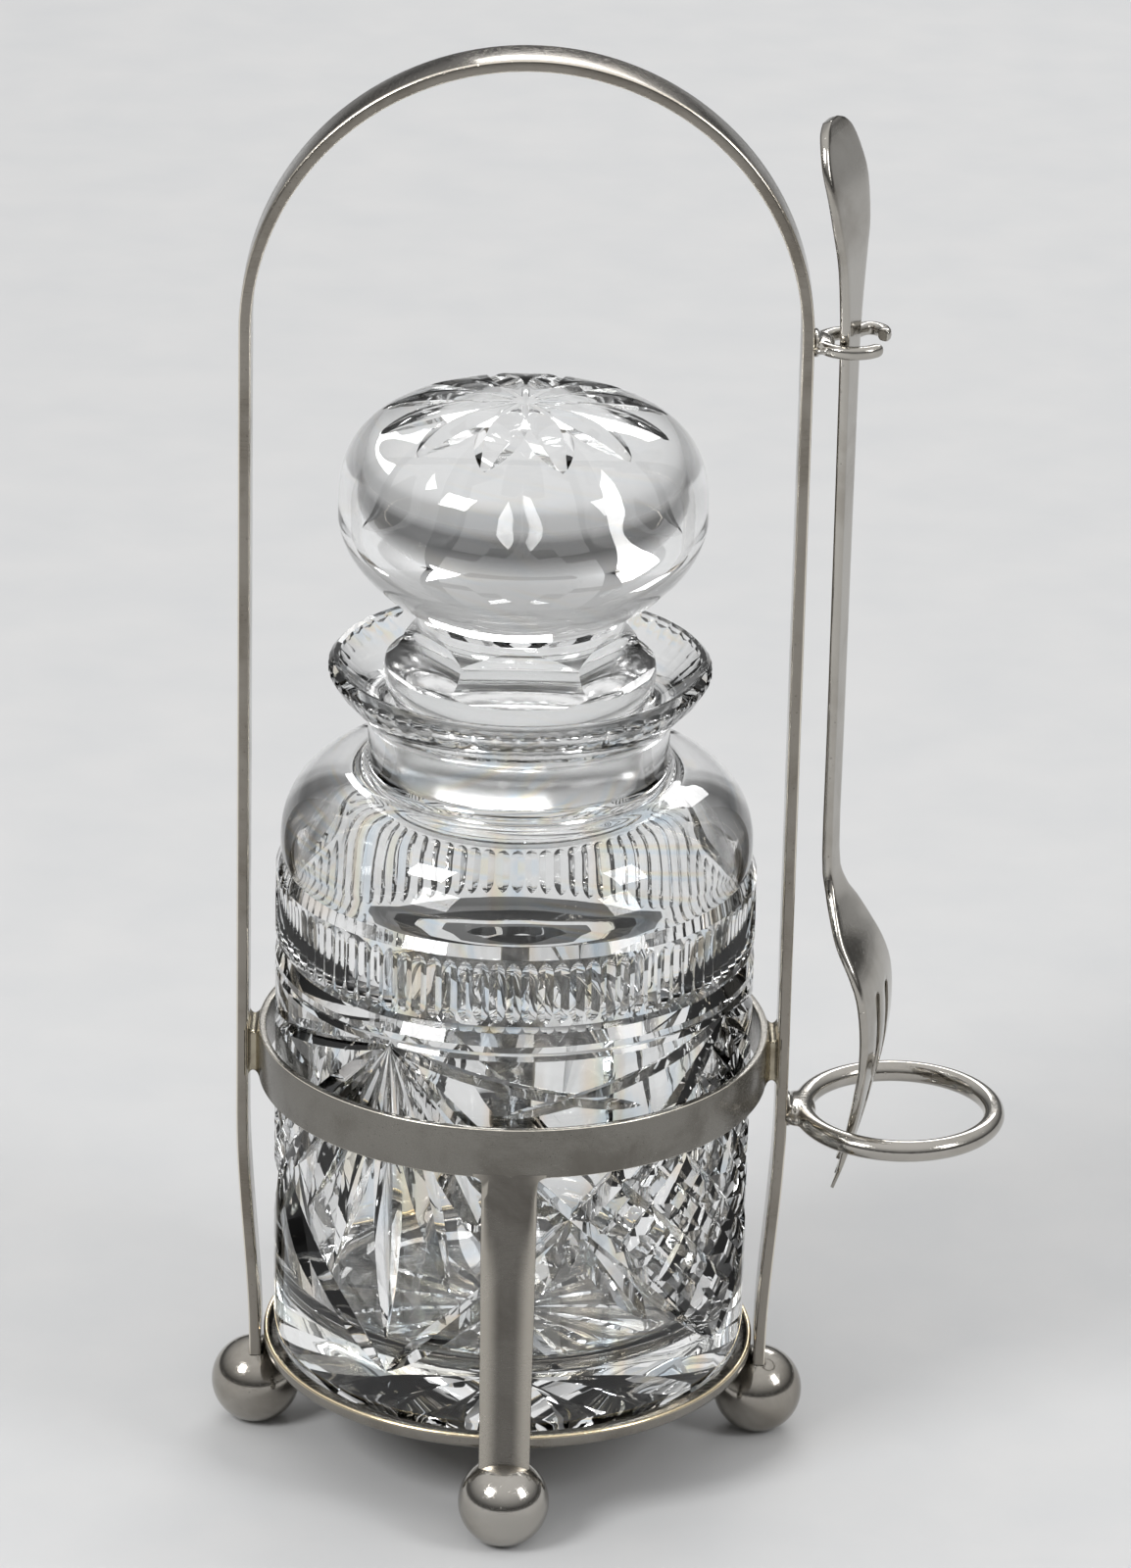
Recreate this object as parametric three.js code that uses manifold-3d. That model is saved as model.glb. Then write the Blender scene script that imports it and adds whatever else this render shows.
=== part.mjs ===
// Cut-glass pickle jar with its stopper, in a plated carrying stand with a hanging fork.
// Millimetres, +Z up. The origin is on the floor, under the middle of the whole set.
import * as THREE from 'three';
import { mergeVertices } from 'three/addons/utils/BufferGeometryUtils.js';
import Module from 'manifold-3d';

const wasm = await Module();
wasm.setup();

const { degToRad, lerp, smoothstep } = THREE.MathUtils;

// Overall
const overallHeight = 254;
const jointGap = 0.3; // left between pieces that are soldered or rest together

// Ball feet
const ballRadius = 7.9;
const ballFlatRadius = 2.6; // worn flat that each ball stands on
const ballRows = 7;
const ballSegments = 16;

// Strip that the handle and legs are bent from
const stripWidth = 9.5;
const stripThickness = 2.1;
const stripBevel = 0.55;
const stripFootWidth = 8.8; // narrowed where it stands on a ball
const stripSink = 3.4; // how far its end reaches down over the ball
const legDome = 0.35; // the legs are domed outside

// Handle
const uprightGap = 1.6; // from the band to the uprights, filled with solder
const uprightDrawIn = 2.4; // the uprights draw in this much at their feet
const drawInBelowBand = 7; // and begin to this far under the band
const drawInSteps = 6;
const archSteps = 20;

// Band round the jar
const bandHeight = 9;
const bandAbovePlate = 51.8;
const bandThickness = 1.3;
const bandBevel = 0.3;
const bandClearance = 1.6; // round the widest part of the glass
const bandSegments = 48;

// Solder saddles between the band and the uprights
const solderWidth = 10.4;
const solderWaist = 0.75; // of its width and height, half-way across

// Base plate
const plateThickness = 1;
const plateClearance = 0.84; // over the tops of the balls
const plateLipHeight = 2;
const plateLipWidth = 0.9;
const plateLipSlope = 1.7;
const plateSegments = 40;

// Fork ring
const ringMidRadius = 16.95;
const ringWireRadius = 1.75;
const ringHeight = 62.6;
const ringOffset = 1; // from the upright to the wire
const ringSegments = 28;
const ringStubWidth = 6;
const ringStubHeight = 3;

// Fork clip
const clipBelowArch = 1.2; // under the height where the arch springs
const clipArmHeight = 3;
const clipArmThickness = 1.5;
const clipOpening = degToRad(100); // left open away from the upright
const clipCurl = 1.9; // radius of the small curl at the end of one arm
const clipRootWidth = 6;
const clipRootHeight = 5.4;
const clipSteps = 18;
const clipCurlSteps = 6;

// Fork
const forkTurn = degToRad(20); // about the vertical, out of square
const forkStandOff = 6.4; // from the upright to the middle of the stem
const forkAboveClip = 38.5;
const forkBelowRing = 11.6;
const forkThickness = 1.7;
const forkSeatPlay = 0.4; // each side, in the clip
const forkHandleWidth = 18.2; // widest part of the flat handle end
const forkStemWidth = 5;
const forkBowlWidth = 19.4;
const forkTipsWidth = 15;
const forkHandleBend = 5.2; // the handle end curls in towards the jar
const forkBowlBend = 9.5; // the bowl swings out
const forkTipsBend = 2.9;
const forkStemBend = -0.3;
const forkBowlHollow = 1.2;
const tineCount = 3;
const tineLength = 37;
const tineGap = 2.5;
const tinePoint = 9; // length of each tine's tapered point
const tinePointWidth = 0.7;

// Jar, from its rim down
const jarHeight = 129.1;
const jarRadius = 41.7;
const jarWall = 5.6;
const jarFloor = 9.5;
const floorCornerRadius = 7;
const rimRadius = 32.9;
const rimEdgeHeight = 1.3; // rounded over, on top
const rimWidth = 1.9;
const rimFlareHeight = 10.6;
const rimFacets = 24;
const neckRadius = 26;
const neckHeight = 9;
const domeHeight = 17; // from the upper groove to the neck
const domeStep = 2; // from the neck out to where the dome begins to fall
const shoulderInset = 0.8;
const fluteBandHeight = 16; // between the middles of the two grooves
const grooveHalfWidth = 1.9;
const grooveDepth = 1.3;
const beadHeight = 3.8; // from the lower groove to the thin ring under it
const thinRingHalfWidth = 0.8;
const thinRingDepth = 0.5;
const heelHeight = 3.6;
const heelInset = 2.2;
const saucerDepth = 7.2; // from the rim to the stopper's seat
const boreTopRadius = 20.9;
const boreBottomRadius = 20.2;
const boreDepth = 13.8;
const jarSegments = 32;
const cavitySegments = 24;

// Cut pattern of the jar: lozenges filled with spears and with diamonds, in turn
const patternTurn = degToRad(-30); // of the first lozenge, from the front
const lozengeCount = 4;
const lozengeBelowRing = 0.7;
const lozengeAboveHeel = 6.5;
const edgeWidth = 4.6; // mitres along the edges of the lozenges
const edgeDepth = 1.8;
const crossWidth = 2.4;
const crossDepth = 1.15;
const crossReach = degToRad(63); // of the shallow cuts over the lozenges
const crossDrop = 10.5;
const spearCount = 7;
const spearWidth = 5;
const spearDepth = 1.4;
const diamondRows = 4;
const diamondWidth = 4;
const diamondDepth = 1.6;
const bladeTurn = degToRad(20); // of each blade's tip from the corner between two lozenges
const bladeDrop = 21;
const bladeWidth = 6.4;
const bladeDepth = 1.9;
const shortSpearLength = 8; // between the blades
const shortSpearWidth = 3;
const baseRayCount = 16; // star cut under the base
const baseRayReach = 35.5;
const baseRayWidth = 5.4;
const baseRayDepth = 1.5;
const fluteCount = 60;
const fluteDepth = 0.7;

// Stopper, from its seat up
const plugClearance = 0.3;
const shoulderWidth = 2.5; // of the stopper's round shoulder, over the edge of the bore
const shoulderRise = 6.4; // from its widest part up to its top
const shoulderMiddle = 5; // height of its widest part
const shoulderDepth = 5.2; // from its widest part in to the middle of its curve
const stopperNeckRadius = 17.4;
const stopperNeckHeight = 15.2;
const headAboveNeck = 17.8; // from the neck to the widest part of the head
const headRadius = 31.5;
const headLowerRise = 21.3;
const headUpperRise = 20.4;
const headLowerFullness = 1.8; // 2 is an ellipse, more is squarer
const headUpperFullness = 3;
const stopperSegments = 30;
const neckPanelCount = 6;
const neckPanelInset = 0.3; // into the neck
const neckPanelRadius = 6; // of the hollow curve of each panel
const neckPanelDrop = 2.9; // of its deepest line under the top of the neck
const headLeaves = 12;
const headLeafStart = 3;
const headLeafReach = 27;
const headLeafWidth = 8;
const headLeafDepth = 2;

// Worked out from the sizes above
const bandInnerRadius = jarRadius + bandClearance;
const bandOuterRadius = bandInnerRadius + bandThickness;
const uprightFace = bandOuterRadius + uprightGap;
const handleRadius = uprightFace + stripThickness / 2;
const handleOuterRadius = uprightFace + stripThickness;
const footCircleRadius = handleRadius - uprightDrawIn;
const archSpring = overallHeight - handleOuterRadius;
const ballCentreHeight = Math.sqrt(ballRadius ** 2 - ballFlatRadius ** 2);
const ballTop = ballCentreHeight + ballRadius;
const stripEnd = ballTop - stripSink;
const plateBottom = ballTop + plateClearance;
const plateFloor = plateBottom + plateThickness;
const bandBottom = plateFloor + bandAbovePlate;
const bandTop = bandBottom + bandHeight;
const drawInHeight = bandBottom - drawInBelowBand;
const ringCentreX = handleOuterRadius + ringOffset + ringWireRadius + ringMidRadius;
const clipHeight = archSpring - clipBelowArch;
const clipArmRadius = forkStandOff - jointGap - clipArmThickness / 2;
const clipInnerRadius = clipArmRadius - clipArmThickness / 2;
const forkX = handleOuterRadius + forkStandOff;
const forkTop = clipHeight + forkAboveClip;
const forkTip = ringHeight - forkBelowRing;
const rimEdge = jarHeight - rimEdgeHeight;
const neckTop = jarHeight - rimFlareHeight;
const neckBottom = neckTop - neckHeight;
const upperGroove = neckBottom - domeHeight;
const lowerGroove = upperGroove - fluteBandHeight;
const thinRing = lowerGroove - beadHeight;
const boreTop = jarHeight - saucerDepth;
const boreBottom = boreTop - boreDepth;
const lozengeTop = thinRing - lozengeBelowRing;
const lozengeBottom = heelHeight + lozengeAboveHeel;
const headMiddle = stopperNeckHeight + headAboveNeck;
const shoulderRadius = boreTopRadius + shoulderWidth;
const leftReach = footCircleRadius + ballRadius;
const rightReach = ringCentreX + ringMidRadius + ringWireRadius;
const middleX = (rightReach - leftReach) / 2;

const silver = { color: 0xc4beb0, roughness: 0.22, metalness: 1 };
const satinSilver = { color: 0xa9a59b, roughness: 0.42, metalness: 1 };
const crystal = { color: 0xe8eef0, roughness: 0.03, metalness: 0, transparent: true, opacity: 0.45 };

const up = new THREE.Vector3(0, 0, 1);

function vec(x, y, z) {
  return new THREE.Vector3(x, y, z);
}

function onCircle(radius, angle, z) {
  return vec(radius * Math.cos(angle), radius * Math.sin(angle), z);
}

// A list made by a function of the index.
function each(count, make) {
  return Array.from({ length: count }, (_, i) => make(i));
}

// A closed solid from a geometry, with its shared vertices merged.
function solid(geometry) {
  const bare = geometry.index ? geometry : mergeVertices(geometry);
  bare.deleteAttribute('normal');
  bare.deleteAttribute('uv');
  const merged = mergeVertices(bare, 1e-4);
  return new wasm.Manifold(new wasm.Mesh({
    numProp: 3,
    vertProperties: merged.attributes.position.array,
    triVerts: new Uint32Array(merged.index.array),
  }));
}

// Revolves [radius, height] points, listed from the bottom outside upwards.
function revolve(points, segments) {
  const profile = points.map(([radius, height]) => new THREE.Vector2(radius, height));
  const geometry = new THREE.LatheGeometry(profile, segments);
  geometry.rotateX(Math.PI / 2);
  return solid(geometry);
}

// An upright cylinder or cone.
function column(bottomRadius, topRadius, bottom, top, segments) {
  const geometry = new THREE.CylinderGeometry(topRadius, bottomRadius, top - bottom, segments);
  geometry.rotateX(Math.PI / 2);
  geometry.translate(0, 0, (top + bottom) / 2);
  return solid(geometry);
}

// Six times the volume inside a triangle list, negative where it is inside out.
function signedVolume(points, index) {
  let sum = 0;
  for (let i = 0; i < index.length; i += 3) {
    sum += points[index[i]].dot(points[index[i + 1]].clone().cross(points[index[i + 2]]));
  }
  return sum;
}

// Joins rings of equal point counts into a closed solid with flat ends.
function loft(rings) {
  const count = rings[0].length;
  const last = (rings.length - 1) * count;
  const index = [];
  for (let ring = 0; ring + 1 < rings.length; ring += 1) {
    for (let i = 0; i < count; i += 1) {
      const a = ring * count + i;
      const b = ring * count + (i + 1) % count;
      index.push(a, b, b + count, a, b + count, a + count);
    }
  }
  for (let i = 1; i + 1 < count; i += 1) {
    index.push(0, i + 1, i, last, last + i, last + i + 1);
  }
  const points = rings.flat();
  const geometry = new THREE.BufferGeometry().setFromPoints(points);
  geometry.setIndex(signedVolume(points, index) < 0 ? index.toReversed() : index);
  return solid(geometry);
}

// Points on an arc in a plane, as [across, along] pairs.
function arcPoints(centre, radiusAcross, radiusAlong, from, to, steps) {
  return each(steps + 1, (i) => {
    const angle = lerp(from, to, i / steps);
    return [centre[0] + radiusAcross * Math.cos(angle), centre[1] + radiusAlong * Math.sin(angle)];
  });
}

// A rectangle with bevelled corners, as [across, along] pairs.
function bevelled(width, height, bevel) {
  const x = width / 2;
  const y = height / 2;
  return [
    [-x, bevel - y], [bevel - x, -y], [x - bevel, -y], [x, bevel - y],
    [x, y - bevel], [x - bevel, y], [bevel - x, y], [-x, y - bevel],
  ];
}

// How far an upright is drawn in at a height, from 0 under the band to 1 at the foot.
function drawnIn(height) {
  return 1 - smoothstep(height, ballTop, drawInHeight);
}

function uprightRadius(height) {
  return handleRadius - uprightDrawIn * drawnIn(height);
}

function legRadius(height) {
  const top = bandOuterRadius - stripThickness / 2;
  return lerp(footCircleRadius, top, (height - ballTop) / (bandBottom - ballTop));
}

function stripWidthAt(height) {
  return lerp(stripWidth, stripFootWidth, drawnIn(height));
}

function foot() {
  const start = -Math.PI / 2 + Math.asin(ballFlatRadius / ballRadius);
  const side = arcPoints([0, ballCentreHeight], ballRadius, ballRadius, start, Math.PI / 2, ballRows);
  side[ballRows][0] = 0;
  return revolve([[0, 0], ...side], ballSegments);
}

// Space that a ball takes out of the end of a strip.
function ballSeat(x, y) {
  const ball = new THREE.SphereGeometry(ballRadius + jointGap, ballSegments, ballRows);
  ball.rotateX(Math.PI / 2);
  ball.translate(x, y, ballCentreHeight);
  return solid(ball);
}

function handle() {
  const rise = each(drawInSteps + 1, (i) => {
    const height = lerp(stripEnd, drawInHeight, i / drawInSteps);
    return [uprightRadius(height), height];
  });
  const arch = arcPoints([0, archSpring], handleRadius, handleRadius, 0, Math.PI, archSteps);
  const fall = rise.toReversed().map(([x, z]) => [-x, z]);
  const path = [...rise, ...arch, ...fall];
  const across = vec(0, 1, 0);
  const rings = path.map(([x, z], i) => {
    const before = path[Math.max(i - 1, 0)];
    const after = path[Math.min(i + 1, path.length - 1)];
    const outward = vec(after[1] - before[1], 0, before[0] - after[0]).normalize();
    return bevelled(stripWidthAt(z), stripThickness, stripBevel).map(([side, out]) => vec(x, 0, z)
      .addScaledVector(across, side)
      .addScaledVector(outward, out));
  });
  return loft(rings)
    .subtract(ballSeat(-footCircleRadius, 0))
    .subtract(ballSeat(footCircleRadius, 0));
}

// A leg in front of the jar. It widens into the band at its top.
function leg() {
  const top = bandBottom - jointGap;
  const flareHeight = stripThickness * 1.5;
  const stations = [top, top - flareHeight / 4, top - flareHeight, lerp(stripEnd, top, 0.5), stripEnd];
  const rings = stations.map((height) => {
    const flare = stripThickness * (1 - Math.min(1, (top - height) / flareHeight)) ** 2;
    const width = stripWidthAt(height) + flare;
    const section = bevelled(width, stripThickness, stripBevel);
    section.splice(6, 0, [0, stripThickness / 2 + legDome]);
    return section.map(([side, out]) => vec(side, -legRadius(height) - out, height));
  });
  return loft(rings).subtract(ballSeat(0, -footCircleRadius));
}

function band() {
  const middle = (bandInnerRadius + bandOuterRadius) / 2;
  const section = bevelled(bandThickness, bandHeight, bandBevel)
    .map(([out, rise]) => [middle + out, (bandTop + bandBottom) / 2 + rise]);
  return revolve([...section, section[0]], bandSegments);
}

// Solder that saddles the gap between the band and the right-hand upright.
function solder() {
  const middle = (bandTop + bandBottom) / 2;
  const height = bandHeight - bandBevel * 2;
  const rings = [
    [bandInnerRadius, 1],
    [(bandOuterRadius + uprightFace) / 2, solderWaist],
    [uprightFace - jointGap, (solderWaist + 1) / 2],
  ].map(([x, share]) => bevelled(solderWidth * share, height * share, height * share / 4)
    .map(([side, rise]) => vec(x, side, middle + rise)));
  const hole = bandOuterRadius + jointGap;
  return loft(rings).subtract(column(hole, hole, bandBottom, bandTop, bandSegments));
}

function basePlate() {
  const lipTop = plateFloor + plateLipHeight;
  const outer = Math.min(uprightRadius(lipTop), legRadius(lipTop)) - stripThickness / 2 - jointGap;
  const soft = plateLipWidth / 3;
  return revolve([
    [0, plateBottom], [outer - plateLipSlope, plateBottom], [outer, plateFloor],
    [outer, lipTop - soft], [outer - soft, lipTop], [outer - plateLipWidth, lipTop - soft],
    [outer - plateLipWidth - plateLipSlope, plateFloor], [0, plateFloor],
  ], plateSegments);
}

// A stub that leaves the right-hand upright, as [distance from the upright, share of its size].
function stub(height, stations, width, depth) {
  const start = uprightRadius(height) + stripThickness / 2;
  return loft(stations.map(([x, share]) => bevelled(width * share, depth * share, depth * share / 3)
    .map(([side, rise]) => vec(start + x, side, height + rise))));
}

function forkRing() {
  const ring = new THREE.TorusGeometry(ringMidRadius, ringWireRadius, 8, ringSegments);
  ring.translate(ringCentreX, 0, ringHeight);
  const reach = handleOuterRadius - uprightRadius(ringHeight) - stripThickness / 2 + ringOffset;
  const root = [[jointGap, 1], [reach, 0.85], [reach + ringWireRadius, 1]];
  return solid(ring).add(stub(ringHeight, root, ringStubWidth, ringStubHeight));
}

// One arm after the other: round the stem, then a small curl outward at the far tip.
function forkClip() {
  const from = clipOpening / 2;
  const to = Math.PI * 2 - clipOpening / 2;
  const line = arcPoints([forkX, 0], clipArmRadius, clipArmRadius, to, from, clipSteps);
  const [tipX, tipY] = line[clipSteps];
  const curlCentre = [tipX + clipCurl * Math.cos(from), tipY + clipCurl * Math.sin(from)];
  const curl = arcPoints(curlCentre, clipCurl, clipCurl, Math.PI + from, Math.PI * 2.1 + from, clipCurlSteps);
  line.push(...curl.slice(1));
  const rings = line.map((point, i) => {
    const before = line[Math.max(i - 1, 0)];
    const after = line[Math.min(i + 1, line.length - 1)];
    const along = vec(after[0] - before[0], after[1] - before[1], 0).normalize();
    const side = along.cross(up);
    return bevelled(clipArmThickness, clipArmHeight, clipArmThickness / 3)
      .map(([out, height]) => vec(point[0], point[1], clipHeight + height).addScaledVector(side, out));
  });
  const reach = forkStandOff - clipArmRadius;
  const root = [[jointGap, 1], [jointGap + clipArmThickness / 2, 0.85], [reach, 0.6]];
  return loft(rings).add(stub(clipHeight, root, clipRootWidth, clipRootHeight));
}

// Places down the fork, as [height, half width, bend outward].
function forkStations() {
  const handle = forkHandleWidth / 2;
  const seat = clipInnerRadius - forkSeatPlay;
  const stem = forkStemWidth / 2;
  const bowl = forkBowlWidth / 2;
  const tips = forkTipsWidth / 2;
  const seatTop = clipHeight + clipArmHeight / 2;
  const stemEnd = forkTip + 61;
  const paddle = [
    [0, 0.28, -1], [1.2, 0.55, -0.88], [3.1, 0.77, -0.75], [6.6, 0.95, -0.56],
    [11.3, 1, -0.31], [18.4, 0.88, -0.12],
  ].map(([drop, wide, bend]) => [forkTop - drop, handle * wide, forkHandleBend * bend]);
  const shaft = [[0, 1], [0.22, 0.66], [0.45, 0.33], [0.75, 0.05], [1, 0]]
    .map(([share, wide]) => [lerp(seatTop, stemEnd, share), lerp(stem, seat, wide), forkStemBend]);
  const spoon = [
    [54.7, 0.37, 0.08], [50.8, 0.63, 0.26], [46.6, 0.86, 0.48], [42.2, 0.97, 0.75],
    [37.8, 1, 0.93], [31.7, 0.99, 1], [25, 0.96, 0.97],
  ].map(([rise, wide, bend]) => [forkTip + rise, bowl * wide, forkBowlBend * bend]);
  const tines = [[18.2, 1.14, 0.84], [11.5, 1.1, 0.68], [4.8, 1.04, 0.49]]
    .map(([rise, wide, bend]) => [forkTip + rise, tips * wide, forkBowlBend * bend]);
  return [
    ...paddle, [forkTop - 28, (handle + seat) * 0.46, forkStemBend], ...shaft, ...spoon, ...tines,
    [forkTip, tips, forkTipsBend],
  ];
}

// A point of the fork, from its distance to the side of its middle line and out from the jar.
function onFork(side, out, height) {
  return vec(forkX, 0, height)
    .addScaledVector(vec(Math.sin(forkTurn), Math.cos(forkTurn), 0), side)
    .addScaledVector(vec(Math.cos(forkTurn), -Math.sin(forkTurn), 0), out);
}

// Cuts an outline, as [side, height] pairs, right through the fork.
function throughFork(outline) {
  const reach = forkBowlBend + forkHandleBend;
  return loft([reach, -reach].map((out) => outline.map(([side, height]) => onFork(side, out, height))));
}

function fork() {
  const half = forkThickness / 2;
  const rings = forkStations().map(([height, halfWidth, bend]) => {
    const soft = Math.min(half, halfWidth * 0.3);
    const bowlShare = height < clipHeight ? halfWidth / forkBowlWidth * 2 : 0;
    const edge = bend - forkBowlHollow * bowlShare ** 3;
    const inner = edge * 0.8 + bend * 0.2;
    return [
      [-halfWidth, edge], [soft - halfWidth, inner - half],
      [0, bend - half], [halfWidth - soft, inner - half],
      [halfWidth, edge], [halfWidth - soft, inner + half],
      [0, bend + half], [soft - halfWidth, inner + half],
    ].map(([side, out]) => onFork(side, out, height));
  });
  const pitch = (forkTipsWidth + tineGap) / tineCount;
  const slots = each(tineCount - 1, (i) => {
    const side = (i + 1 - tineCount / 2) * pitch;
    const half = tineGap / 2;
    const round = arcPoints([side, forkTip + tineLength - half], half, half, 0, Math.PI, 6);
    const mouth = tineGap * 0.8;
    return throughFork([[side - mouth, forkTip - 1], [side + mouth, forkTip - 1], ...round]);
  });
  const points = each(tineCount + 1, (i) => {
    const side = (i - tineCount / 2) * pitch;
    const reach = (pitch - tinePointWidth) / 2;
    const point = [side, forkTip + tinePoint];
    return throughFork([[side - reach, forkTip - 1], [side + reach, forkTip - 1], point]);
  });
  return loft(rings).subtract(wasm.Manifold.union([...slots, ...points]));
}

// A V cut in the side of the jar between two [angle, height] places, with pointed ends.
function mitre(from, to, width, depth, least) {
  const lift = 0.8;
  const skim = 0.05;
  const slope = width / 2 / depth;
  const facets = Math.round(Math.abs(to[0] - from[0]) / (Math.PI * 2 / jarSegments));
  const steps = Math.max(least, facets);
  return loft(each(steps + 1, (step) => {
    const share = step / steps;
    const height = lerp(from[1], to[1], share);
    const outward = onCircle(1, lerp(from[0], to[0], share), 0);
    const round = up.clone().cross(outward);
    const run = vec(0, 0, to[1] - from[1]).addScaledVector(round, jarRadius * (to[0] - from[0])).normalize();
    const side = run.cross(outward);
    const deep = depth * Math.sin(Math.PI * share) ** 0.7 - skim;
    const wide = (deep + lift) * slope;
    const above = outward.clone().multiplyScalar(jarRadius + lift).setZ(height);
    return [
      outward.clone().multiplyScalar(jarRadius - deep).setZ(height),
      above.clone().addScaledVector(side, wide),
      above.clone().addScaledVector(side, -wide),
    ];
  }));
}

// A place in a lozenge, from its top corner along its right-hand and left-hand upper edges.
function inLozenge(angle, right, left) {
  const halfHeight = (lozengeTop - lozengeBottom) / 2;
  return [angle + (right - left) * Math.PI / lozengeCount, lozengeTop - (right + left) * halfHeight];
}

// Long spears that spread from the top corner of a lozenge.
function spears(angle) {
  const reach = 0.86;
  return each(spearCount, (i) => {
    const right = (i + 1) / (spearCount + 1);
    const longest = reach / Math.max(right, 1 - right);
    return mitre(inLozenge(angle, 0, 0), inLozenge(angle, right * longest, (1 - right) * longest),
      spearWidth, spearDepth, 4);
  });
}

// Two crossing sets of cuts that leave a field of pointed diamonds.
function diamonds(angle) {
  return each(diamondRows - 1, (i) => {
    const share = (i + 1) / diamondRows;
    return [
      mitre(inLozenge(angle, share, 0), inLozenge(angle, share, 1), diamondWidth, diamondDepth, 3),
      mitre(inLozenge(angle, 0, share), inLozenge(angle, 1, share), diamondWidth, diamondDepth, 3),
    ];
  }).flat();
}

// Upper edges of a lozenge, which run on as lower edges of its neighbours, and shallow cuts over them.
function edgeMitres(angle) {
  const top = inLozenge(angle, 0, 0);
  return [
    mitre(top, inLozenge(angle, 2, 0), edgeWidth, edgeDepth, 3),
    mitre(top, inLozenge(angle, 0, 2), edgeWidth, edgeDepth, 3),
    mitre(top, [angle + crossReach, lozengeTop - crossDrop], crossWidth, crossDepth, 3),
    mitre(top, [angle - crossReach, lozengeTop - crossDrop], crossWidth, crossDepth, 3),
  ];
}

// Two broad blades and a short spear that fall from the corner where two lozenges meet.
function star(angle) {
  const corner = inLozenge(angle, 1, 0);
  const fall = [corner[0], corner[1] - shortSpearLength];
  return [
    mitre(corner, [corner[0] - bladeTurn, corner[1] - bladeDrop], bladeWidth, bladeDepth, 4),
    mitre(corner, [corner[0] + bladeTurn, corner[1] - bladeDrop], bladeWidth, bladeDepth, 4),
    mitre(corner, fall, shortSpearWidth, shortSpearWidth / 3, 3),
  ];
}

// A V cut with pointed ends in a flat or domed face, that runs outwards over a place's height.
function ray(angle, from, to, width, depth, heightAt, steps) {
  const lift = Math.sign(depth);
  const skim = 0.05 * lift;
  const outward = onCircle(1, angle, 0);
  const side = up.clone().cross(outward);
  const slope = width / 2 / depth;
  return loft(each(steps + 1, (step) => {
    const share = step / steps;
    const reach = lerp(from, to, share);
    const deep = depth * Math.sin(Math.PI * share) ** 0.8 - skim;
    const wide = (deep + lift) * slope;
    const middle = outward.clone().multiplyScalar(reach);
    return [
      middle.clone().setZ(heightAt(reach) - deep),
      middle.clone().addScaledVector(side, -wide).setZ(heightAt(reach) + lift),
      middle.clone().addScaledVector(side, wide).setZ(heightAt(reach) + lift),
    ];
  }));
}

// Rays of the star under the base.
function baseStar() {
  return each(baseRayCount, (i) => {
    const angle = Math.PI * 2 * i / baseRayCount;
    return ray(angle, baseRayReach / 12, baseRayReach, baseRayWidth, -baseRayDepth, () => 0, 4);
  });
}

// What upright V flutes leave out of a collar round the band between the grooves.
function flutes() {
  const collar = new THREE.Shape().absarc(0, 0, jarRadius + 2, 0, Math.PI * 2);
  const star = new THREE.Path(each(fluteCount * 2, (i) => {
    const radius = i % 2 ? jarRadius : jarRadius - fluteDepth;
    const point = onCircle(radius, Math.PI * i / fluteCount, 0);
    return new THREE.Vector2(point.x, point.y);
  }));
  collar.holes.push(star);
  const geometry = new THREE.ExtrudeGeometry(collar, {
    depth: fluteBandHeight, bevelEnabled: false, curveSegments: 6,
  });
  geometry.translate(0, 0, lowerGroove);
  return solid(geometry);
}

// Flats cut round the edge of the rim.
function rimFlats() {
  const corner = rimRadius - 0.1;
  const collar = jarRadius + 5;
  const foot = corner - rimFlareHeight / 3;
  return column(collar, collar, neckTop, rimEdge, rimFacets)
    .subtract(column(foot, corner, neckTop, rimEdge, rimFacets));
}

// A V groove in the outline, from its lower edge to its upper one.
function groove(height, halfWidth, depth) {
  return [[jarRadius, height - halfWidth], [jarRadius - depth, height], [jarRadius, height + halfWidth]];
}

// Outside of the jar, from the middle of its base up to the edge of its rim and over to the axis.
function jarOutline() {
  const shoulder = jarRadius - shoulderInset;
  const domeStart = upperGroove + grooveHalfWidth * 2;
  const domeInner = neckRadius + domeStep;
  const domeSpread = shoulder - domeInner;
  const dome = arcPoints([domeInner, domeStart], domeSpread, neckBottom - domeStart, 0, Math.PI / 2, 4);
  return [
    [0, 0], [jarRadius - heelInset, 0], [jarRadius - heelInset / 3, heelHeight * 0.4],
    [jarRadius, heelHeight],
    ...groove(thinRing, thinRingHalfWidth, thinRingDepth),
    ...groove(lowerGroove, grooveHalfWidth, grooveDepth),
    ...groove(upperGroove, grooveHalfWidth, grooveDepth).slice(0, 2),
    [shoulder, upperGroove + grooveHalfWidth], ...dome,
    [neckRadius, neckBottom + 1.6], [neckRadius, neckTop - 1], [neckRadius + 1.2, neckTop + 1.6],
    [rimRadius - 1.6, rimEdge - 3.4], [rimRadius, rimEdge - 0.8], [rimRadius, rimEdge + rimEdgeHeight / 3],
    [rimRadius - rimWidth / 2, jarHeight], [0, jarHeight],
  ];
}

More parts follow.
